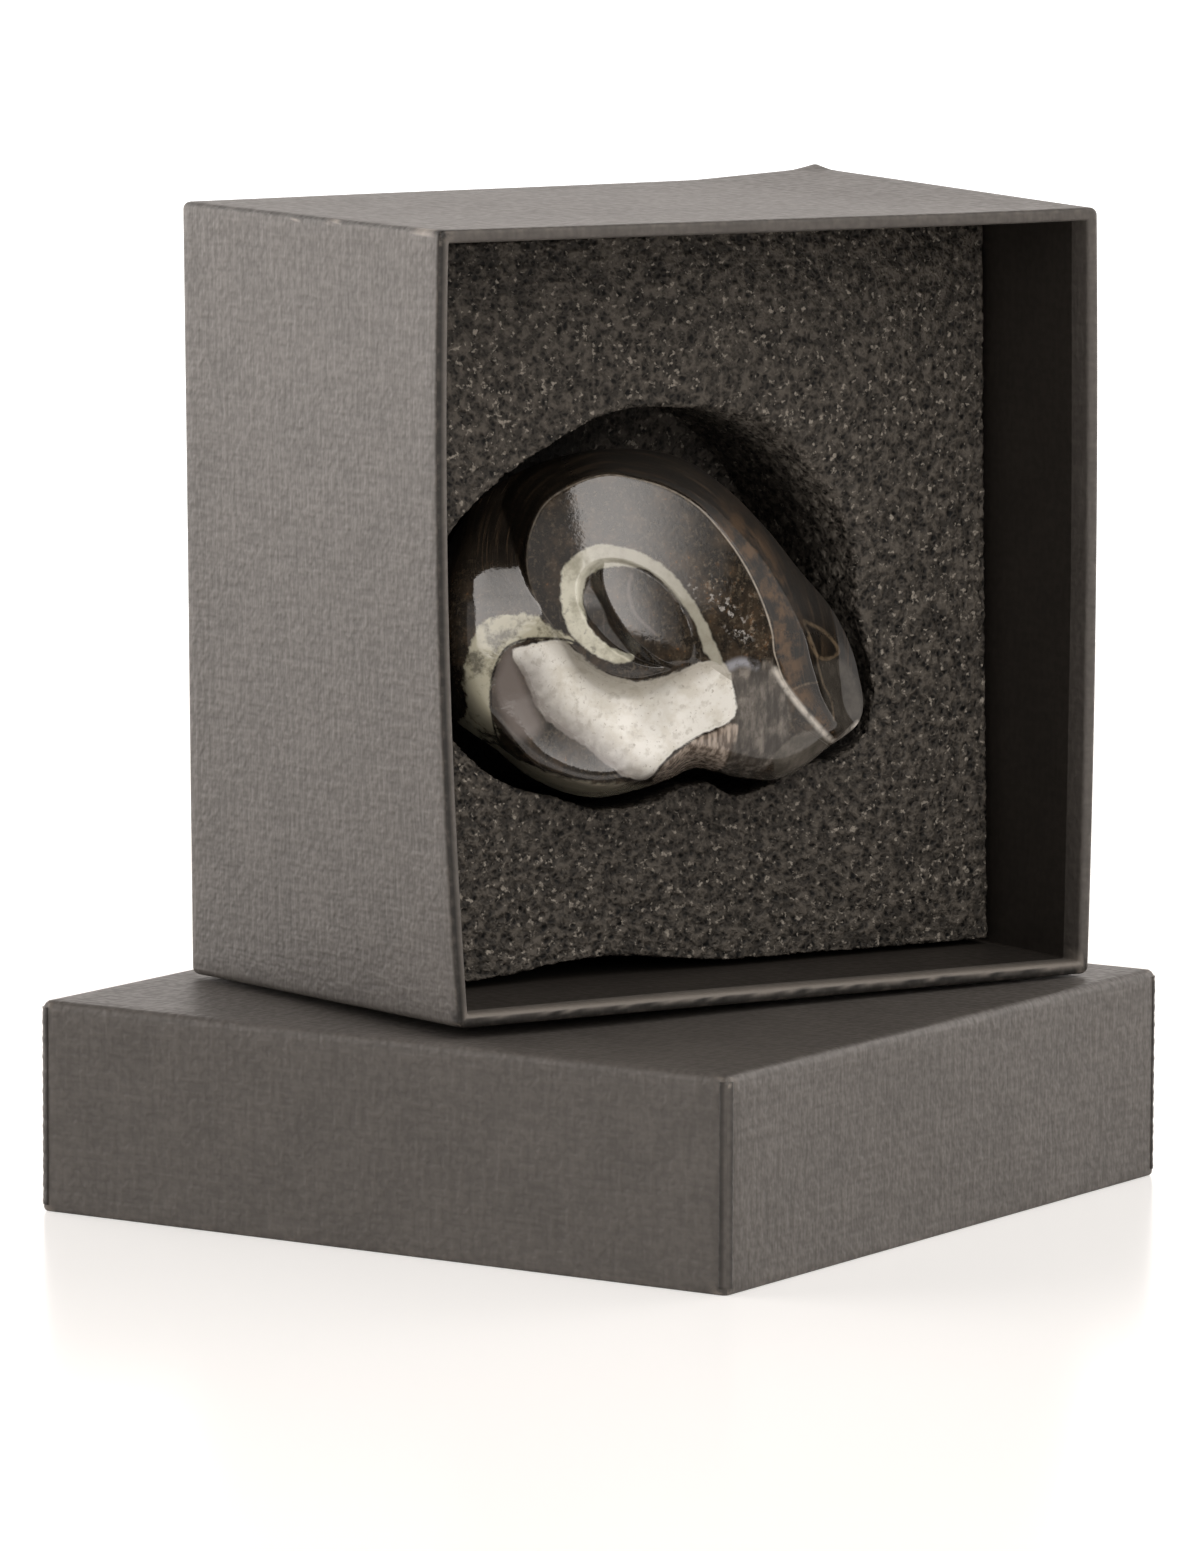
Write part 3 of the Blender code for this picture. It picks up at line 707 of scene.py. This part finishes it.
def stone_material():
    """Polished dark calcite with pale shell layers, sutures and fine specks."""
    material, tree, shader = new_material("Polished fossil stone")
    place = node(tree, "TexCoord").outputs["Object"]
    wobble = texture(place, 900, 4)
    mottle = texture(place, 420, 5, 0.65)
    fine = texture(place, 2200, 3)
    body = dark_stone(tree, place, mottle, fine)
    body = side_of_whorl(tree, body, mottle)
    body = grey_end(tree, body, place, wobble, mottle)
    body = shell_layers(tree, body, wobble, mottle, fine)
    flecks = ramp(texture(place, 1300, 3, 0.6), 0.56, 0.64)
    body = paint(body, (186, 182, 176), line_mask(tree, "white_specks", 2.2), flecks, 0.8)
    body = stone_lines(tree, body, wobble)
    gap = ramp(attribute(tree, "eye_gap"), -0.3, 0.4, 0, 0.35)
    chalky = ramp(attribute(tree, "white_crescent"), 0, 0.6, 0, 0.24)
    around = attribute(tree, "around")
    upper = times(ramp(around, -14, 6), ramp(around, 100, 130, 1, 0))
    outside = ramp(attribute(tree, "beyond"), 0.1, 0.5, 0, 0.42)
    dull = math("MAXIMUM", math("MAXIMUM", gap, chalky), times(upper, outside))
    roughness = math("ADD", ramp(fine, 0.3, 0.8, 0.04, 0.11), dull)
    feed(shader, {"Base Color": body, "Roughness": roughness, "IOR": 1.66})
    relief(shader, math("ADD", times(fine, 0.5), mottle), 0.35, 0.00005)
    return material


def floor_material():
    material, tree, shader = new_material("White table")
    feed(shader, {
        "Base Color": (0.94, 0.925, 0.91, 1), "Roughness": 0.22, "Specular IOR Level": 0.25,
        "Emission Color": (1, 1, 0.99, 1),
        "Emission Strength": times(node(tree, "LightPath").outputs["Is Camera Ray"], 0.4),
    })
    return material


# Card box

def rounded_rectangle(half_a, half_b, radius):
    """Points round a rectangle with rounded corners."""
    arcs = []
    for sign_a, sign_b, start in ((1, 1, 0), (-1, 1, 90), (-1, -1, 180), (1, -1, 270)):
        centre = np.array([sign_a * (half_a - radius), sign_b * (half_b - radius)])
        angles = np.radians(start + 90 * np.arange(CORNER_STEPS + 1) / CORNER_STEPS)
        arcs.append(centre + radius * np.column_stack([np.cos(angles), np.sin(angles)]))
    shares = np.arange(1, SIDE_STEPS)[:, None] / SIDE_STEPS
    points = []
    for arc, following in zip(arcs, arcs[1:] + arcs[:1]):
        points += [arc, arc[-1] + (following[0] - arc[-1]) * shares]
    return np.concatenate(points)


def box_profile(depth, half):
    """(inset, distance from the rim, is inside) of the loops over a box with one open end."""
    quarter = np.linspace(0, pi / 2, 5)
    rise, run = 1 - np.sin(quarter), 1 - np.cos(quarter)
    closed = CLOSED_EDGE_RADIUS
    parts = (
        (np.linspace(half - END_MARGIN, closed, 24), depth, False),
        (closed * rise[1:], depth - closed * run[1:], False),
        (0, np.linspace(depth - closed, EDGE_RADIUS, int(depth / WALL_STEP))[1:], False),
        (EDGE_RADIUS * run[1:], EDGE_RADIUS * rise[1:], False),
        (WALL - EDGE_RADIUS * rise, EDGE_RADIUS * run, False),
        (WALL, np.linspace(EDGE_RADIUS, depth - WALL, int(depth / LINING_STEP))[1:], True),
        (np.linspace(WALL, half - END_MARGIN, 8)[1:], depth - WALL, True),
    )
    return [step for part in parts for step in np.broadcast(*part)]


def board_box(name, half_a, half_b, depth):
    """Open card box in its own frame: a, b across it and c from its rim to its closed end."""
    profile = box_profile(depth, min(half_a, half_b))
    loops = []
    for inset, at, _ in profile:
        radius = max(CORNER_RADIUS - inset, LEAST_RADIUS)
        flat = rounded_rectangle(half_a - inset, half_b - inset, radius)
        loops.append(np.column_stack([flat, np.full(len(flat), at)]))
    mesh, points = loft(name, loops)
    map_paper(mesh, points)
    mark_wear(mesh, points, half_a, half_b, depth)
    for face in mesh.polygons:
        row = min(face.vertices) // len(loops[0])
        face.material_index = int(profile[row][2])
    return mesh, points


def map_paper(mesh, points):
    """Lays the paper's weave flat on each side, in metres, and shifts it from side to side."""
    layer = mesh.uv_layers.new(name="paper")
    uv = np.zeros((len(mesh.loops), 2), np.float32)
    for face in mesh.polygons:
        axis = int(np.argmax(np.abs(face.normal)))
        flat = np.delete(points[list(face.vertices)], axis, axis=1)
        uv[list(face.loop_indices)] = flat + axis * np.array(WEAVE_SHIFT)
    layer.data.foreach_set("uv", uv.ravel())


def mark_wear(mesh, points, half_a, half_b, depth):
    """Wear is greatest at the box's corners and runs thinly along its outer edges."""
    a, b, c = points.T
    near = np.sort([half_a - np.abs(a), half_b - np.abs(b), np.minimum(c, depth - c)], axis=0)
    edge = np.hypot(near[0], near[1])
    corner = np.linalg.norm(near, axis=0)
    wear = 0.25 * smooth(1 - edge / EDGE_WEAR) + 0.7 * smooth(1 - corner / CORNER_WEAR)
    mark(mesh, "wear", np.clip(wear, 0, 1))
    for name in ("shade", "pale"):
        mark(mesh, name, np.zeros(len(points)))


def scuff_at(points, scuffs):
    """Patchy scuffs at the given (place along, reach) on a long edge."""
    scuffed = np.zeros(len(points))
    for at, reach in scuffs:
        near = smooth(1.5 - np.abs(points[:, 2] - at) / reach)
        scuffed = np.maximum(scuffed, near * (noise_at(points, 0.0012, 2) > -0.1))
    return scuffed


def mark_tray(mesh, points, half_a, half_b):
    """The tray's paper: strips of painted shade and painted highlight on its rim, and painted shade with
    scuffs along its top left edge.
    """
    a, b, from_rim = points.T
    on_rim = from_rim < 2 * EDGE_RADIUS
    from_left, from_foot = a + half_a, b + half_b
    on_left, on_foot = on_rim & (from_left < 1.2 * WALL), on_rim & (from_foot < 1.2 * WALL)
    # Painted shade in a strip down the left rim, with a faint painted highlight inside it
    past_strip = smooth((from_left - RIM_SHADE_WIDTH) / RIM_LINE)
    strip = smooth(from_left / RIM_LINE) * (1 - past_strip)
    # Painted shade on the lower part of the foot's rim, and a painted highlight along its upper edge
    uneven = 0.0003 * noise_at(points, 0.002, 6)
    past_foot = smooth((from_foot - FOOT_SHADED + uneven) / RIM_LINE)
    shade = np.where(on_left, strip, 0)
    shade = np.where(on_foot, 1 - past_foot, shade)
    pale = np.where(on_left, 0.08 * past_strip, 0)
    pale = np.where(on_foot, 0.45 * past_foot, pale)

    # Painted shade in the seam along the top left edge, broken where the paper is scuffed; the scuffs are
    # real wear
    right, up = a + half_a - CORNER_RADIUS, b - half_b + CORNER_RADIUS
    on_arc = (right < 0) & (up > 0) & ~on_rim
    turned = np.degrees(np.arctan2(up, -right))
    width = 16 + 16 * smooth(1 - np.abs(from_rim - SEAM_OPEN_AT) / SEAM_OPEN_REACH)
    seam = np.exp(-((turned - 45) / width) ** 2) * (0.8 + 0.4 * noise_at(points, 0.004, 5))
    shade = np.where(on_arc, np.clip(seam, 0, 1), shade)
    scuffed = np.where(on_arc & (np.abs(turned - 45) < 35), scuff_at(points, TRAY_SCUFFS), 0)
    mark(mesh, "shade", shade * (1 - scuffed))
    mark(mesh, "pale", np.maximum(pale, 0.7 * scuffed))


def corner_strip(name, corner, start, turned, materials):
    """Strip of paper round an upright corner of the lid, with painted shade on its sides and a scuffed
    top.
    """
    centre = np.array(corner) - CORNER_RADIUS * np.sign(corner)
    angles = np.radians(start + np.array(STRIP_ANGLES))
    ways = np.column_stack([np.cos(angles), np.sin(angles)])
    along = np.linspace(STRIP_START, LID_HEIGHT - STRIP_START, STRIP_STEPS)
    loops = []
    for k, at in enumerate(along):
        lift = STRIP_LIFT * (1 + 0.5 * sin(1.7 * k) * cos(0.6 * k))
        outer = centre + ways * (CORNER_RADIUS + lift)
        inner = centre + ways[::-1] * (CORNER_RADIUS - 2 * STRIP_LIFT)
        ring = np.vstack([outer, inner])
        loops.append(np.column_stack([ring, np.full(len(ring), at)]))
    mesh, points = loft(name, loops)
    map_paper(mesh, points)
    # Painted shade on the strip's sides and all over its underside
    across = np.concatenate([STRIP_SHADE, np.ones(len(STRIP_SHADE))])
    uneven = 0.8 + 0.3 * noise_at(points, 0.004, 5)
    mark(mesh, "shade", np.clip(np.tile(across, len(loops)) * uneven, 0, 1))
    mark(mesh, "pale", 0.7 * scuff_at(points, LID_SCUFFS))
    mark(mesh, "wear", np.zeros(len(points)))
    set_points(mesh, points @ turned)
    add_piece(mesh, materials)


def flex(points, half_a, half_b, depth):
    """Moves the walls in and out by slow waves of about a tenth of a millimetre, but not the edges."""
    a, b, c = points.T
    share = np.stack([a / half_a, b / half_b, 2 * c / depth - 1], -1)
    reach = np.clip(np.abs(share), 0, 1)
    waves = np.sin(70 * a + 40 * b + 1) + np.sin(55 * c - 90 * b + 2.2) + np.sin(120 * a + 75 * c)
    wave = BOARD_WAVE * (waves - 2)
    moved = points.copy()
    for axis in range(3):
        calm = (1 - np.delete(reach, axis, axis=1) ** 6).prod(axis=1)
        side = smooth((reach[:, axis] - 0.9) / 0.08) * np.sign(share[:, axis])
        if axis == 2:
            side = np.clip(side, 0, 1)
        moved[:, axis] += side * calm * wave
    return moved


def tray_place(points):
    """Tray's own points to the box's place: a is X, b is Z and c is Y, pulled out of square."""
    a, b, c = points.T
    shares = points / (TRAY_WIDTH, TRAY_HEIGHT, TRAY_DEPTH) + (0.5, 0.5, 0)
    right, up, back = shares.T
    mid_height = 4 * up * (1 - up)
    x = TRAY_CENTRE_X + a - TRAY_BOW * mid_height * (1 - right) * (1 - back)
    x = x + (RIGHT_OUT + RIGHT_BOW * mid_height) * right * (1 - back)
    x = x - (BACK_LEFT_OUT + BACK_LEFT_LEAN * up) * (1 - right) * back
    z = TRAY_BASE_Z + TRAY_HEIGHT / 2 + b
    for corner, (dx, dz) in TRAY_PULLS:
        weight = np.where(corner, shares, 1 - shares).prod(axis=1)
        x, z = x + weight * dx, z + weight * dz
    return np.column_stack([x, TRAY_FRONT_Y + c, z])


def lift_paper_tip(points):
    """The tray's top back corner is warped up a little, and its paper ends in a small tip."""
    corner = points[np.argmax(points @ np.array([1, 1, 1]))]
    away = np.abs(points - corner)
    warped = np.clip(1 - away / np.array(CORNER_WARP_REACH), 0, 1).prod(axis=1)
    near = np.linalg.norm(away, axis=1) / PAPER_TIP_REACH
    points[:, 2] += CORNER_WARP * warped + PAPER_TIP_RISE * np.clip(1 - near, 0, 1) ** 1.5
    return points


def make_tray(papers):
    half_a, half_b = TRAY_WIDTH / 2, TRAY_HEIGHT / 2
    mesh, points = board_box("box_tray_paper", half_a, half_b, TRAY_DEPTH)
    mark_tray(mesh, points, half_a, half_b)
    set_points(mesh, lift_paper_tip(tray_place(flex(points, half_a, half_b, TRAY_DEPTH))))
    add_piece(mesh, papers, "box_tray")


def make_lid(papers):
    half = LID_SIDE / 2
    mesh, points = board_box("box_lid_paper", half, half, LID_HEIGHT)
    turned = np.array(Matrix.Rotation(LID_TURN, 3, "Z")).T
    set_points(mesh, flex(points, half, half, LID_HEIGHT) @ turned)
    corners = (("middle", (-half, -half), 180), ("left", (-half, half), 90), ("right", (half, -half), 270))
    for side, corner, start in corners:
        corner_strip("lid_%s_corner_paper" % side, corner, start, turned, papers[:1])
    add_piece(mesh, papers, "box_lid")


# Foam

def foam_front(z):
    share = (z - TRAY_BASE_Z) / TRAY_HEIGHT
    return TRAY_FRONT_Y + FOAM_RECESS_BELOW + (FOAM_RECESS - FOAM_RECESS_BELOW) * share


def foam_outline():
    """The block's outline: its lower edge bows up off the tray towards the left."""
    margin = WALL + 2 * CLEARANCE
    left = TRAY_CENTRE_X - TRAY_WIDTH / 2 + margin + TRAY_PULLS[1][1][0]
    right = TRAY_CENTRE_X + TRAY_WIDTH / 2 - margin
    bottom = TRAY_BASE_Z + margin
    top = TRAY_BASE_Z + TRAY_HEIGHT - margin + TRAY_PULLS[2][1][1]
    x = np.linspace(left, right, 60)
    away = np.clip((x - TRAY_CENTRE_X - FOAM_BOW_CENTRE) / FOAM_BOW_HALF, -1, 1)
    lift = FOAM_BOW * (1 + np.cos(pi * away)) / 2
    corner = TRAY_PULLS[1][1][1] * (right - x) / (right - left)
    return np.vstack([np.column_stack([x, bottom + lift + corner]), (right, top), (left, top)])


def spread_along(outline, count):
    """Points at even steps along a closed outline."""
    closed = np.vstack([outline, outline[:1]])
    length = np.concatenate([[0], np.cumsum(np.linalg.norm(np.diff(closed, axis=0), axis=1))])
    at = np.linspace(0, length[-1], count, endpoint=False)
    return np.column_stack([np.interp(at, length, closed[:, k]) for k in (0, 1)])


def hole_radius(solid, centre, angles):
    """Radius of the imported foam's hole about its centre, at the given angles."""
    points = np.array([v.co for v in solid.data.vertices])
    ring = points[np.abs(points[:, 1] - HOLE_FLOOR_Y) < 0.0001]
    across, up = ring[:, 0] - centre[0], ring[:, 2] - centre[1]
    knots = sorted(zip(np.arctan2(up, across), np.hypot(across, up)))
    knots = [knot for knot, after in zip(knots, knots[1:] + [(9, 0)]) if after[0] - knot[0] > 0.01]
    return curve(knots, angles, closed_every=2 * pi)


def foam_pits(points):
    """How deep the cut cells lie below the foam's face at each point, 0 to 1."""
    distances = np.array([noise.voronoi(Vector(p) / FOAM_CELL)[0] for p in points])
    return np.minimum(1, 1.6 * (distances[:, 1] - distances[:, 0]))


def make_foam(solid, material):
    centre = np.array([TRAY_CENTRE_X + HOLE_CENTRE[0], TRAY_BASE_Z + HOLE_CENTRE[1]])
    away = spread_along(foam_outline(), FOAM_RAYS) - centre
    angles = np.arctan2(away[:, 1], away[:, 0])
    reach = np.linalg.norm(away, axis=1)
    hole = hole_radius(solid, centre, angles)
    ray = away / reach[:, None]
    back = TRAY_FRONT_Y + TRAY_DEPTH - WALL - CLEARANCE
    off_soft = np.abs(np.degrees(angles) - FOAM_SOFT_AT)
    lip = FOAM_LIP + FOAM_SOFT_LIP * smooth(1 - off_soft / FOAM_SOFT_WITHIN)

    loops, normals = [], []

    def add_loop(radius, depth, outward, forward):
        x, z = (centre + ray * radius[:, None]).T
        loops.append(np.column_stack([x, depth + 0 * x, z]))
        normals.append(np.column_stack([ray[:, 0] * outward, 0 * x - forward, ray[:, 1] * outward]))

    def front_at(radius):
        return foam_front(centre[1] + ray[:, 1] * radius)

    for share in (0.1, 0.4, 0.7, 0.97):
        add_loop(hole * share, HOLE_FLOOR_Y, 0, 1)
    for share in np.linspace(0, 1, 34) ** 0.8:
        depth = HOLE_FLOOR_Y + (front_at(hole) + lip - HOLE_FLOOR_Y) * share
        add_loop(hole, depth, -1, 0)
    for angle in np.linspace(0, pi / 2, 6)[1:]:
        bent = hole + lip * (1 - cos(angle))
        add_loop(bent, front_at(bent) + lip * (1 - sin(angle)), -cos(angle), sin(angle))
    for share in np.linspace(0, 1, FOAM_FACE_RINGS)[1:]:
        radius = hole + lip + (reach - FOAM_EDGE - hole - lip) * share
        add_loop(radius, front_at(radius), 0, 1)
    for angle in np.linspace(0, pi / 2, 4)[1:]:
        bent = reach - FOAM_EDGE * (1 - sin(angle))
        add_loop(bent, front_at(bent) + FOAM_EDGE * (1 - cos(angle)), sin(angle), cos(angle))
    for share in (0.03, 0.07, 0.13, 0.3, 0.6, 1):
        side = front_at(reach) + FOAM_EDGE
        add_loop(reach, side + (back - side) * share, 1, 0)
    for share in (0.98, 0.5, 0.05):
        add_loop(reach * share, back, 0, -1)

    mesh, points = loft("foam_insert_cells", loops)
    behind = points[:, 1] - foam_front(points[:, 2])
    in_hole = np.concatenate([np.hypot(*(loop[:, [0, 2]] - centre).T) < hole + lip for loop in loops])
    off_soft = np.tile(off_soft, len(loops))
    softer = smooth(1.4 - off_soft / FOAM_SOFT_WITHIN)
    lip_light = smooth(behind / 0.004) * (1 - smooth(behind / FOAM_LIP_LIGHT))
    mark(mesh, "lip_light", np.where(in_hole, softer * lip_light, 0))
    shade = smooth((off_soft - 20) / 30) * smooth(behind / 0.003)
    mark(mesh, "hole_shade", np.where(in_hole, shade, 0))
    rough = FOAM_ROUGHNESS * foam_pits(points) + FOAM_LUMPS * (1 + noise_at(points, 0.0016, 4)) / 2
    set_points(mesh, points - np.concatenate(normals) * rough[:, None])
    foam = add_piece(mesh, (material,), "foam_insert")


# Stone

def flat_place(degrees, radius):
    """(u, v) of a place on the stone, by its direction and distance from the eye."""
    turn = np.radians(degrees)
    return radius * np.cos(turn), radius * np.sin(turn)


def stone_rim(degrees):
    return curve(STONE_RIM, degrees, closed_every=360)


def flank_dome(u, v):
    return FLANK_HEIGHT - FLANK_SAG * ((u - FLANK_PEAK[0]) ** 2 + (v - FLANK_PEAK[1]) ** 2)


def eye_of_coil(u, v):
    """Flank of the inner whorl with the dished and domed eye in it."""
    dish = oval(u, v, DISH_HALF, DISH_MIDDLE, DISH_SLANT)
    flank = flank_dome(u, v) - DISH_DEPTH * smooth((1 - dish) / DISH_WALL)
    eye = oval(u, v, EYE_HALF, EYE_MIDDLE, EYE_SLANT)
    tilt = EYE_TILT[0] * (u - EYE_MIDDLE[0]) + EYE_TILT[1] * (v - EYE_MIDDLE[1])
    dome = tilt + np.where(eye < 1, EYE_RISE * (1 - eye ** 2), -EYE_DROP * (eye - 1))
    return soft_max(flank, flank_dome(u, v) + dome, EDGE_SOFTNESS)


def inner_whorl(degrees, radius, u, v):
    """The coil's last turn but one, which falls away beyond its crest in two steps."""
    crest = curve(CREST, degrees)
    crest_height = flank_dome(*flat_place(degrees, crest))
    beyond = radius - crest
    keel = curve(KEEL_OFFSET, degrees)
    first = curve(CREST_SLOPE, degrees) * np.minimum(beyond, keel)
    second = KEEL_SLOPE * np.maximum(beyond - keel, 0)
    return soft_min(eye_of_coil(u, v), crest_height - first - second, EDGE_SOFTNESS)


def ridge_height(degrees, v):
    """Height of the last turn's ridge, which sinks towards the top of the stone."""
    shoulder = SHOULDER_HEIGHT - SHOULDER_SAG * np.maximum(v - SHOULDER_FROM, 0) ** 2
    ridge = soft_min(curve(RIDGE_HEIGHT, degrees), shoulder, SHOULDER_SOFTNESS)
    return soft_max(ridge, RIDGE_LEAST + 0 * v, SHOULDER_SOFTNESS)


def outer_whorl(degrees, radius, u, v):
    """The last turn: it rises from the seam to a ridge and rounds down to the rim."""
    crest, rim = curve(CREST, degrees), stone_rim(degrees)
    ridge = ridge_height(degrees, v)
    ridge_at = curve(RIDGE_SHARE, degrees)
    seam_depth = curve(SEAM_DEPTH, degrees)
    share = np.clip((radius - crest) / (rim - crest + CLEARANCE), SEAM_REACH, 1)
    up = share / ridge_at
    rise = ridge - seam_depth * (1 - (1 + RIDGE_ROUNDING) * up + RIDGE_ROUNDING * up ** 2)
    down = np.clip((share - ridge_at) / (1 - ridge_at), 0, 1)
    fall = ridge * (1 - down ** curve(RIDGE_FALL, degrees))
    join = smooth((degrees - WHORLS_JOIN_FROM) / (COIL_END - WHORLS_JOIN_FROM))
    return np.where(up < 1, rise, fall) * (1 - join) + flank_dome(u, v) * join


def stone_height(degrees, radius):
    """Height of the polished face over the stone's rim plane."""
    u, v = flat_place(degrees, radius)
    whorls = inner_whorl(degrees, radius, u, v), outer_whorl(degrees, radius, u, v)
    rounding = np.sqrt(np.clip(1 - (radius / stone_rim(degrees)) ** RIM_POWER, 0, 1))
    return soft_max(*whorls, EDGE_SOFTNESS) * rounding


def ring_radii(degrees):
    """Radii of the rings over the face, some inside the crest and some from it to the rim."""
    rim = stone_rim(degrees)
    swing = smooth((degrees - RINGS_SWING_FROM) / (COIL_END - RINGS_SWING_FROM))
    near_rim = RINGS_NEAR_RIM * rim
    guide = np.minimum(curve(CREST, degrees), near_rim) * (1 - swing) + near_rim * swing
    inside = [guide * k / RINGS_TO_CREST for k in range(1, RINGS_TO_CREST + 1)]
    shares = np.sin(np.linspace(0, pi / 2, RINGS_TO_RIM + 1))[1:]
    return inside + [guide + (rim - guide) * share for share in shares]


def stone_frame():
    """Places the stone's own u, v and w in the box."""
    turn, tip = STONE_TURN, STONE_TIP
    u = Vector((cos(turn), -sin(turn), 0))
    w = Vector((-sin(turn) * cos(tip), -cos(turn) * cos(tip), sin(tip)))
    v = w.cross(u)
    frame = Matrix((u, v, w)).transposed().to_4x4()
    return Matrix.Translation(STONE_EYE) @ frame


def mark_stone(mesh, degrees, radius, on_face):
    """Gives each point its distances from the stone's markings, in millimetres."""
    u, v = flat_place(degrees, radius / MM)
    for name, outline in AREAS.items():
        depth = depth_inside(u, v, outline)
        mark(mesh, name, np.where(on_face, depth, -OFF_FACE))
    beyond = (radius - curve(CREST, degrees)) / MM
    distances = {name: distance_to_line(u, v, points) for name, points in LINES.items()}
    distances["keel_lines"] = np.minimum(distances["keel_lines"], distances.pop("cross_line"))
    distances["crest_line"] = np.abs(beyond)
    for name, distance in distances.items():
        mark(mesh, name, np.where(on_face, distance, OFF_FACE))
    mark(mesh, "crest_show", curve(CREST_SHOW, degrees))
    mark(mesh, "beyond", beyond)
    mark(mesh, "around", degrees)


def make_stone(material):
    degrees = np.linspace(COIL_START, COIL_END, STONE_SPOKES, endpoint=False)
    rim = stone_rim(degrees)
    rings = [(radius, stone_height(degrees, radius)) for radius in ring_radii(degrees)]
    face_points = len(rings) * STONE_SPOKES
    for angle in np.linspace(0, pi / 2, RINGS_ON_BACK + 1)[1:-1]:
        rings.append((rim * cos(angle), -STONE_BACK * sin(angle)))
    loops = []
    for radius, height in rings:
        u, v = flat_place(degrees, radius)
        loops.append(np.column_stack([u, v, height - STONE_LEAN * u]))
    mesh, points = loft("goniatite_polished", loops)
    radii = np.concatenate([radius for radius, _ in rings])
    mark_stone(mesh, np.tile(degrees, len(rings)), radii, np.arange(len(points)) < face_points)
    mesh.transform(stone_frame())
    add_piece(mesh, (material,), "goniatite")


# Stage, lights and camera

def make_floor():
    turns = np.linspace(0, 2 * pi, 96, endpoint=False)
    rim = [(FLOOR_RADIUS * cos(turn), FLOOR_RADIUS * sin(turn), 0) for turn in turns]
    mesh = bpy.data.meshes.new("floor")
    mesh.from_pydata(rim, [], [list(range(len(rim)))])
    mesh.materials.append(floor_material())
    add_object("floor", mesh)


def add_softbox(name, place, aim, roll, size, power, right_share):
    light = bpy.data.lights.new(name, "AREA")
    light.shape = "RECTANGLE"
    light.color = SOFTBOX_TINT
    light.size, light.size_y = size
    light.energy = power
    lamp = add_object(name, light)
    away = Vector(place) - Vector(aim)
    facing = away.to_track_quat("Z", "Y").to_matrix().to_4x4() @ Matrix.Rotation(radians(roll), 4, "Z")
    lamp.matrix_world = Matrix.Translation(place) @ facing
    lamp.visible_camera = False
    if right_share < 1:
        light.use_nodes = True
        tree = light.node_tree
        over = node(tree, "NewGeometry").outputs["Parametric"]
        across = node(tree, "SeparateXYZ", {0: over}).outputs["X"]
        feed(tree.nodes["Emission"], {"Strength": ramp(across, 0.3, 0.95, 1, right_share)})


def room_light(tree):
    """Strength of the room's light by direction: low down, behind the object and right of it."""
    seen = node(tree, "TexCoord").outputs["Generated"]
    x, y, z = node(tree, "SeparateXYZ", {0: seen}).outputs
    in_front = ramp(y, -0.45, -0.15, ROOM_FRONT_LEFT, ROOM_LEFT)
    on_left = math("ADD", in_front, ramp(y, 0.1, 0.4, 0, ROOM_BACK_LEFT))
    beside = ramp(y, -0.45, -0.15, 0, ROOM_RIGHT)
    behind = ramp(y, 0.15, 0.45, 0, ROOM_RIGHT - ROOM_BACK_RIGHT)
    to_right = ramp(x, -0.15, 0.15)
    left = times(on_left, math("SUBTRACT", 1, to_right))
    right = times(math("SUBTRACT", beside, behind), to_right)
    return times(math("ADD", left, right), ramp(z, *ROOM_DARK_FROM, 1, 0))


def make_lights():
    """Soft studio light: bright low surroundings behind the object, softboxes in front of it."""
    world = bpy.data.worlds.new("Studio")
    bpy.context.scene.world = world
    world.use_nodes = True
    tree = world.node_tree
    plain = node(tree, "LightPath").outputs["Is Camera Ray"]
    strength = math("MAXIMUM", room_light(tree), plain)
    colour = mix(plain, (*ROOM_TINT, 1), (1, 1, 0.99, 1))
    feed(tree.nodes["Background"], {"Color": colour, "Strength": strength})
    for softbox in SOFTBOXES:
        add_softbox(*softbox)
    bpy.context.scene.view_settings.view_transform = "Standard"


def make_camera():
    camera = bpy.data.cameras.new("photograph_view")
    camera.sensor_fit = "VERTICAL"
    camera.sensor_height = SENSOR_HEIGHT
    camera.lens = FOCAL_PIXELS / IMAGE_HEIGHT * SENSOR_HEIGHT
    camera.clip_end = CAMERA_CLIP
    body = add_object("photograph_view", camera)
    right, up = Vector(CAMERA_RIGHT), Vector(CAMERA_UP)
    turned = Matrix((right, up, right.cross(up))).transposed().to_4x4()
    body.matrix_world = Matrix.Translation(CAMERA_PLACE) @ turned
    bpy.context.scene.camera = body


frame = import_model()

make_camera()
make_lights()
make_floor()
papers = (
    paper_material("Linen covering paper", PAPER, 0.00005),
    paper_material("Smooth lining paper", LINER, 0.00001),
)
make_lid(papers)
make_tray(papers)
make_foam(frame["nodes"]["foam_insert"], foam_material())
make_stone(stone_material())
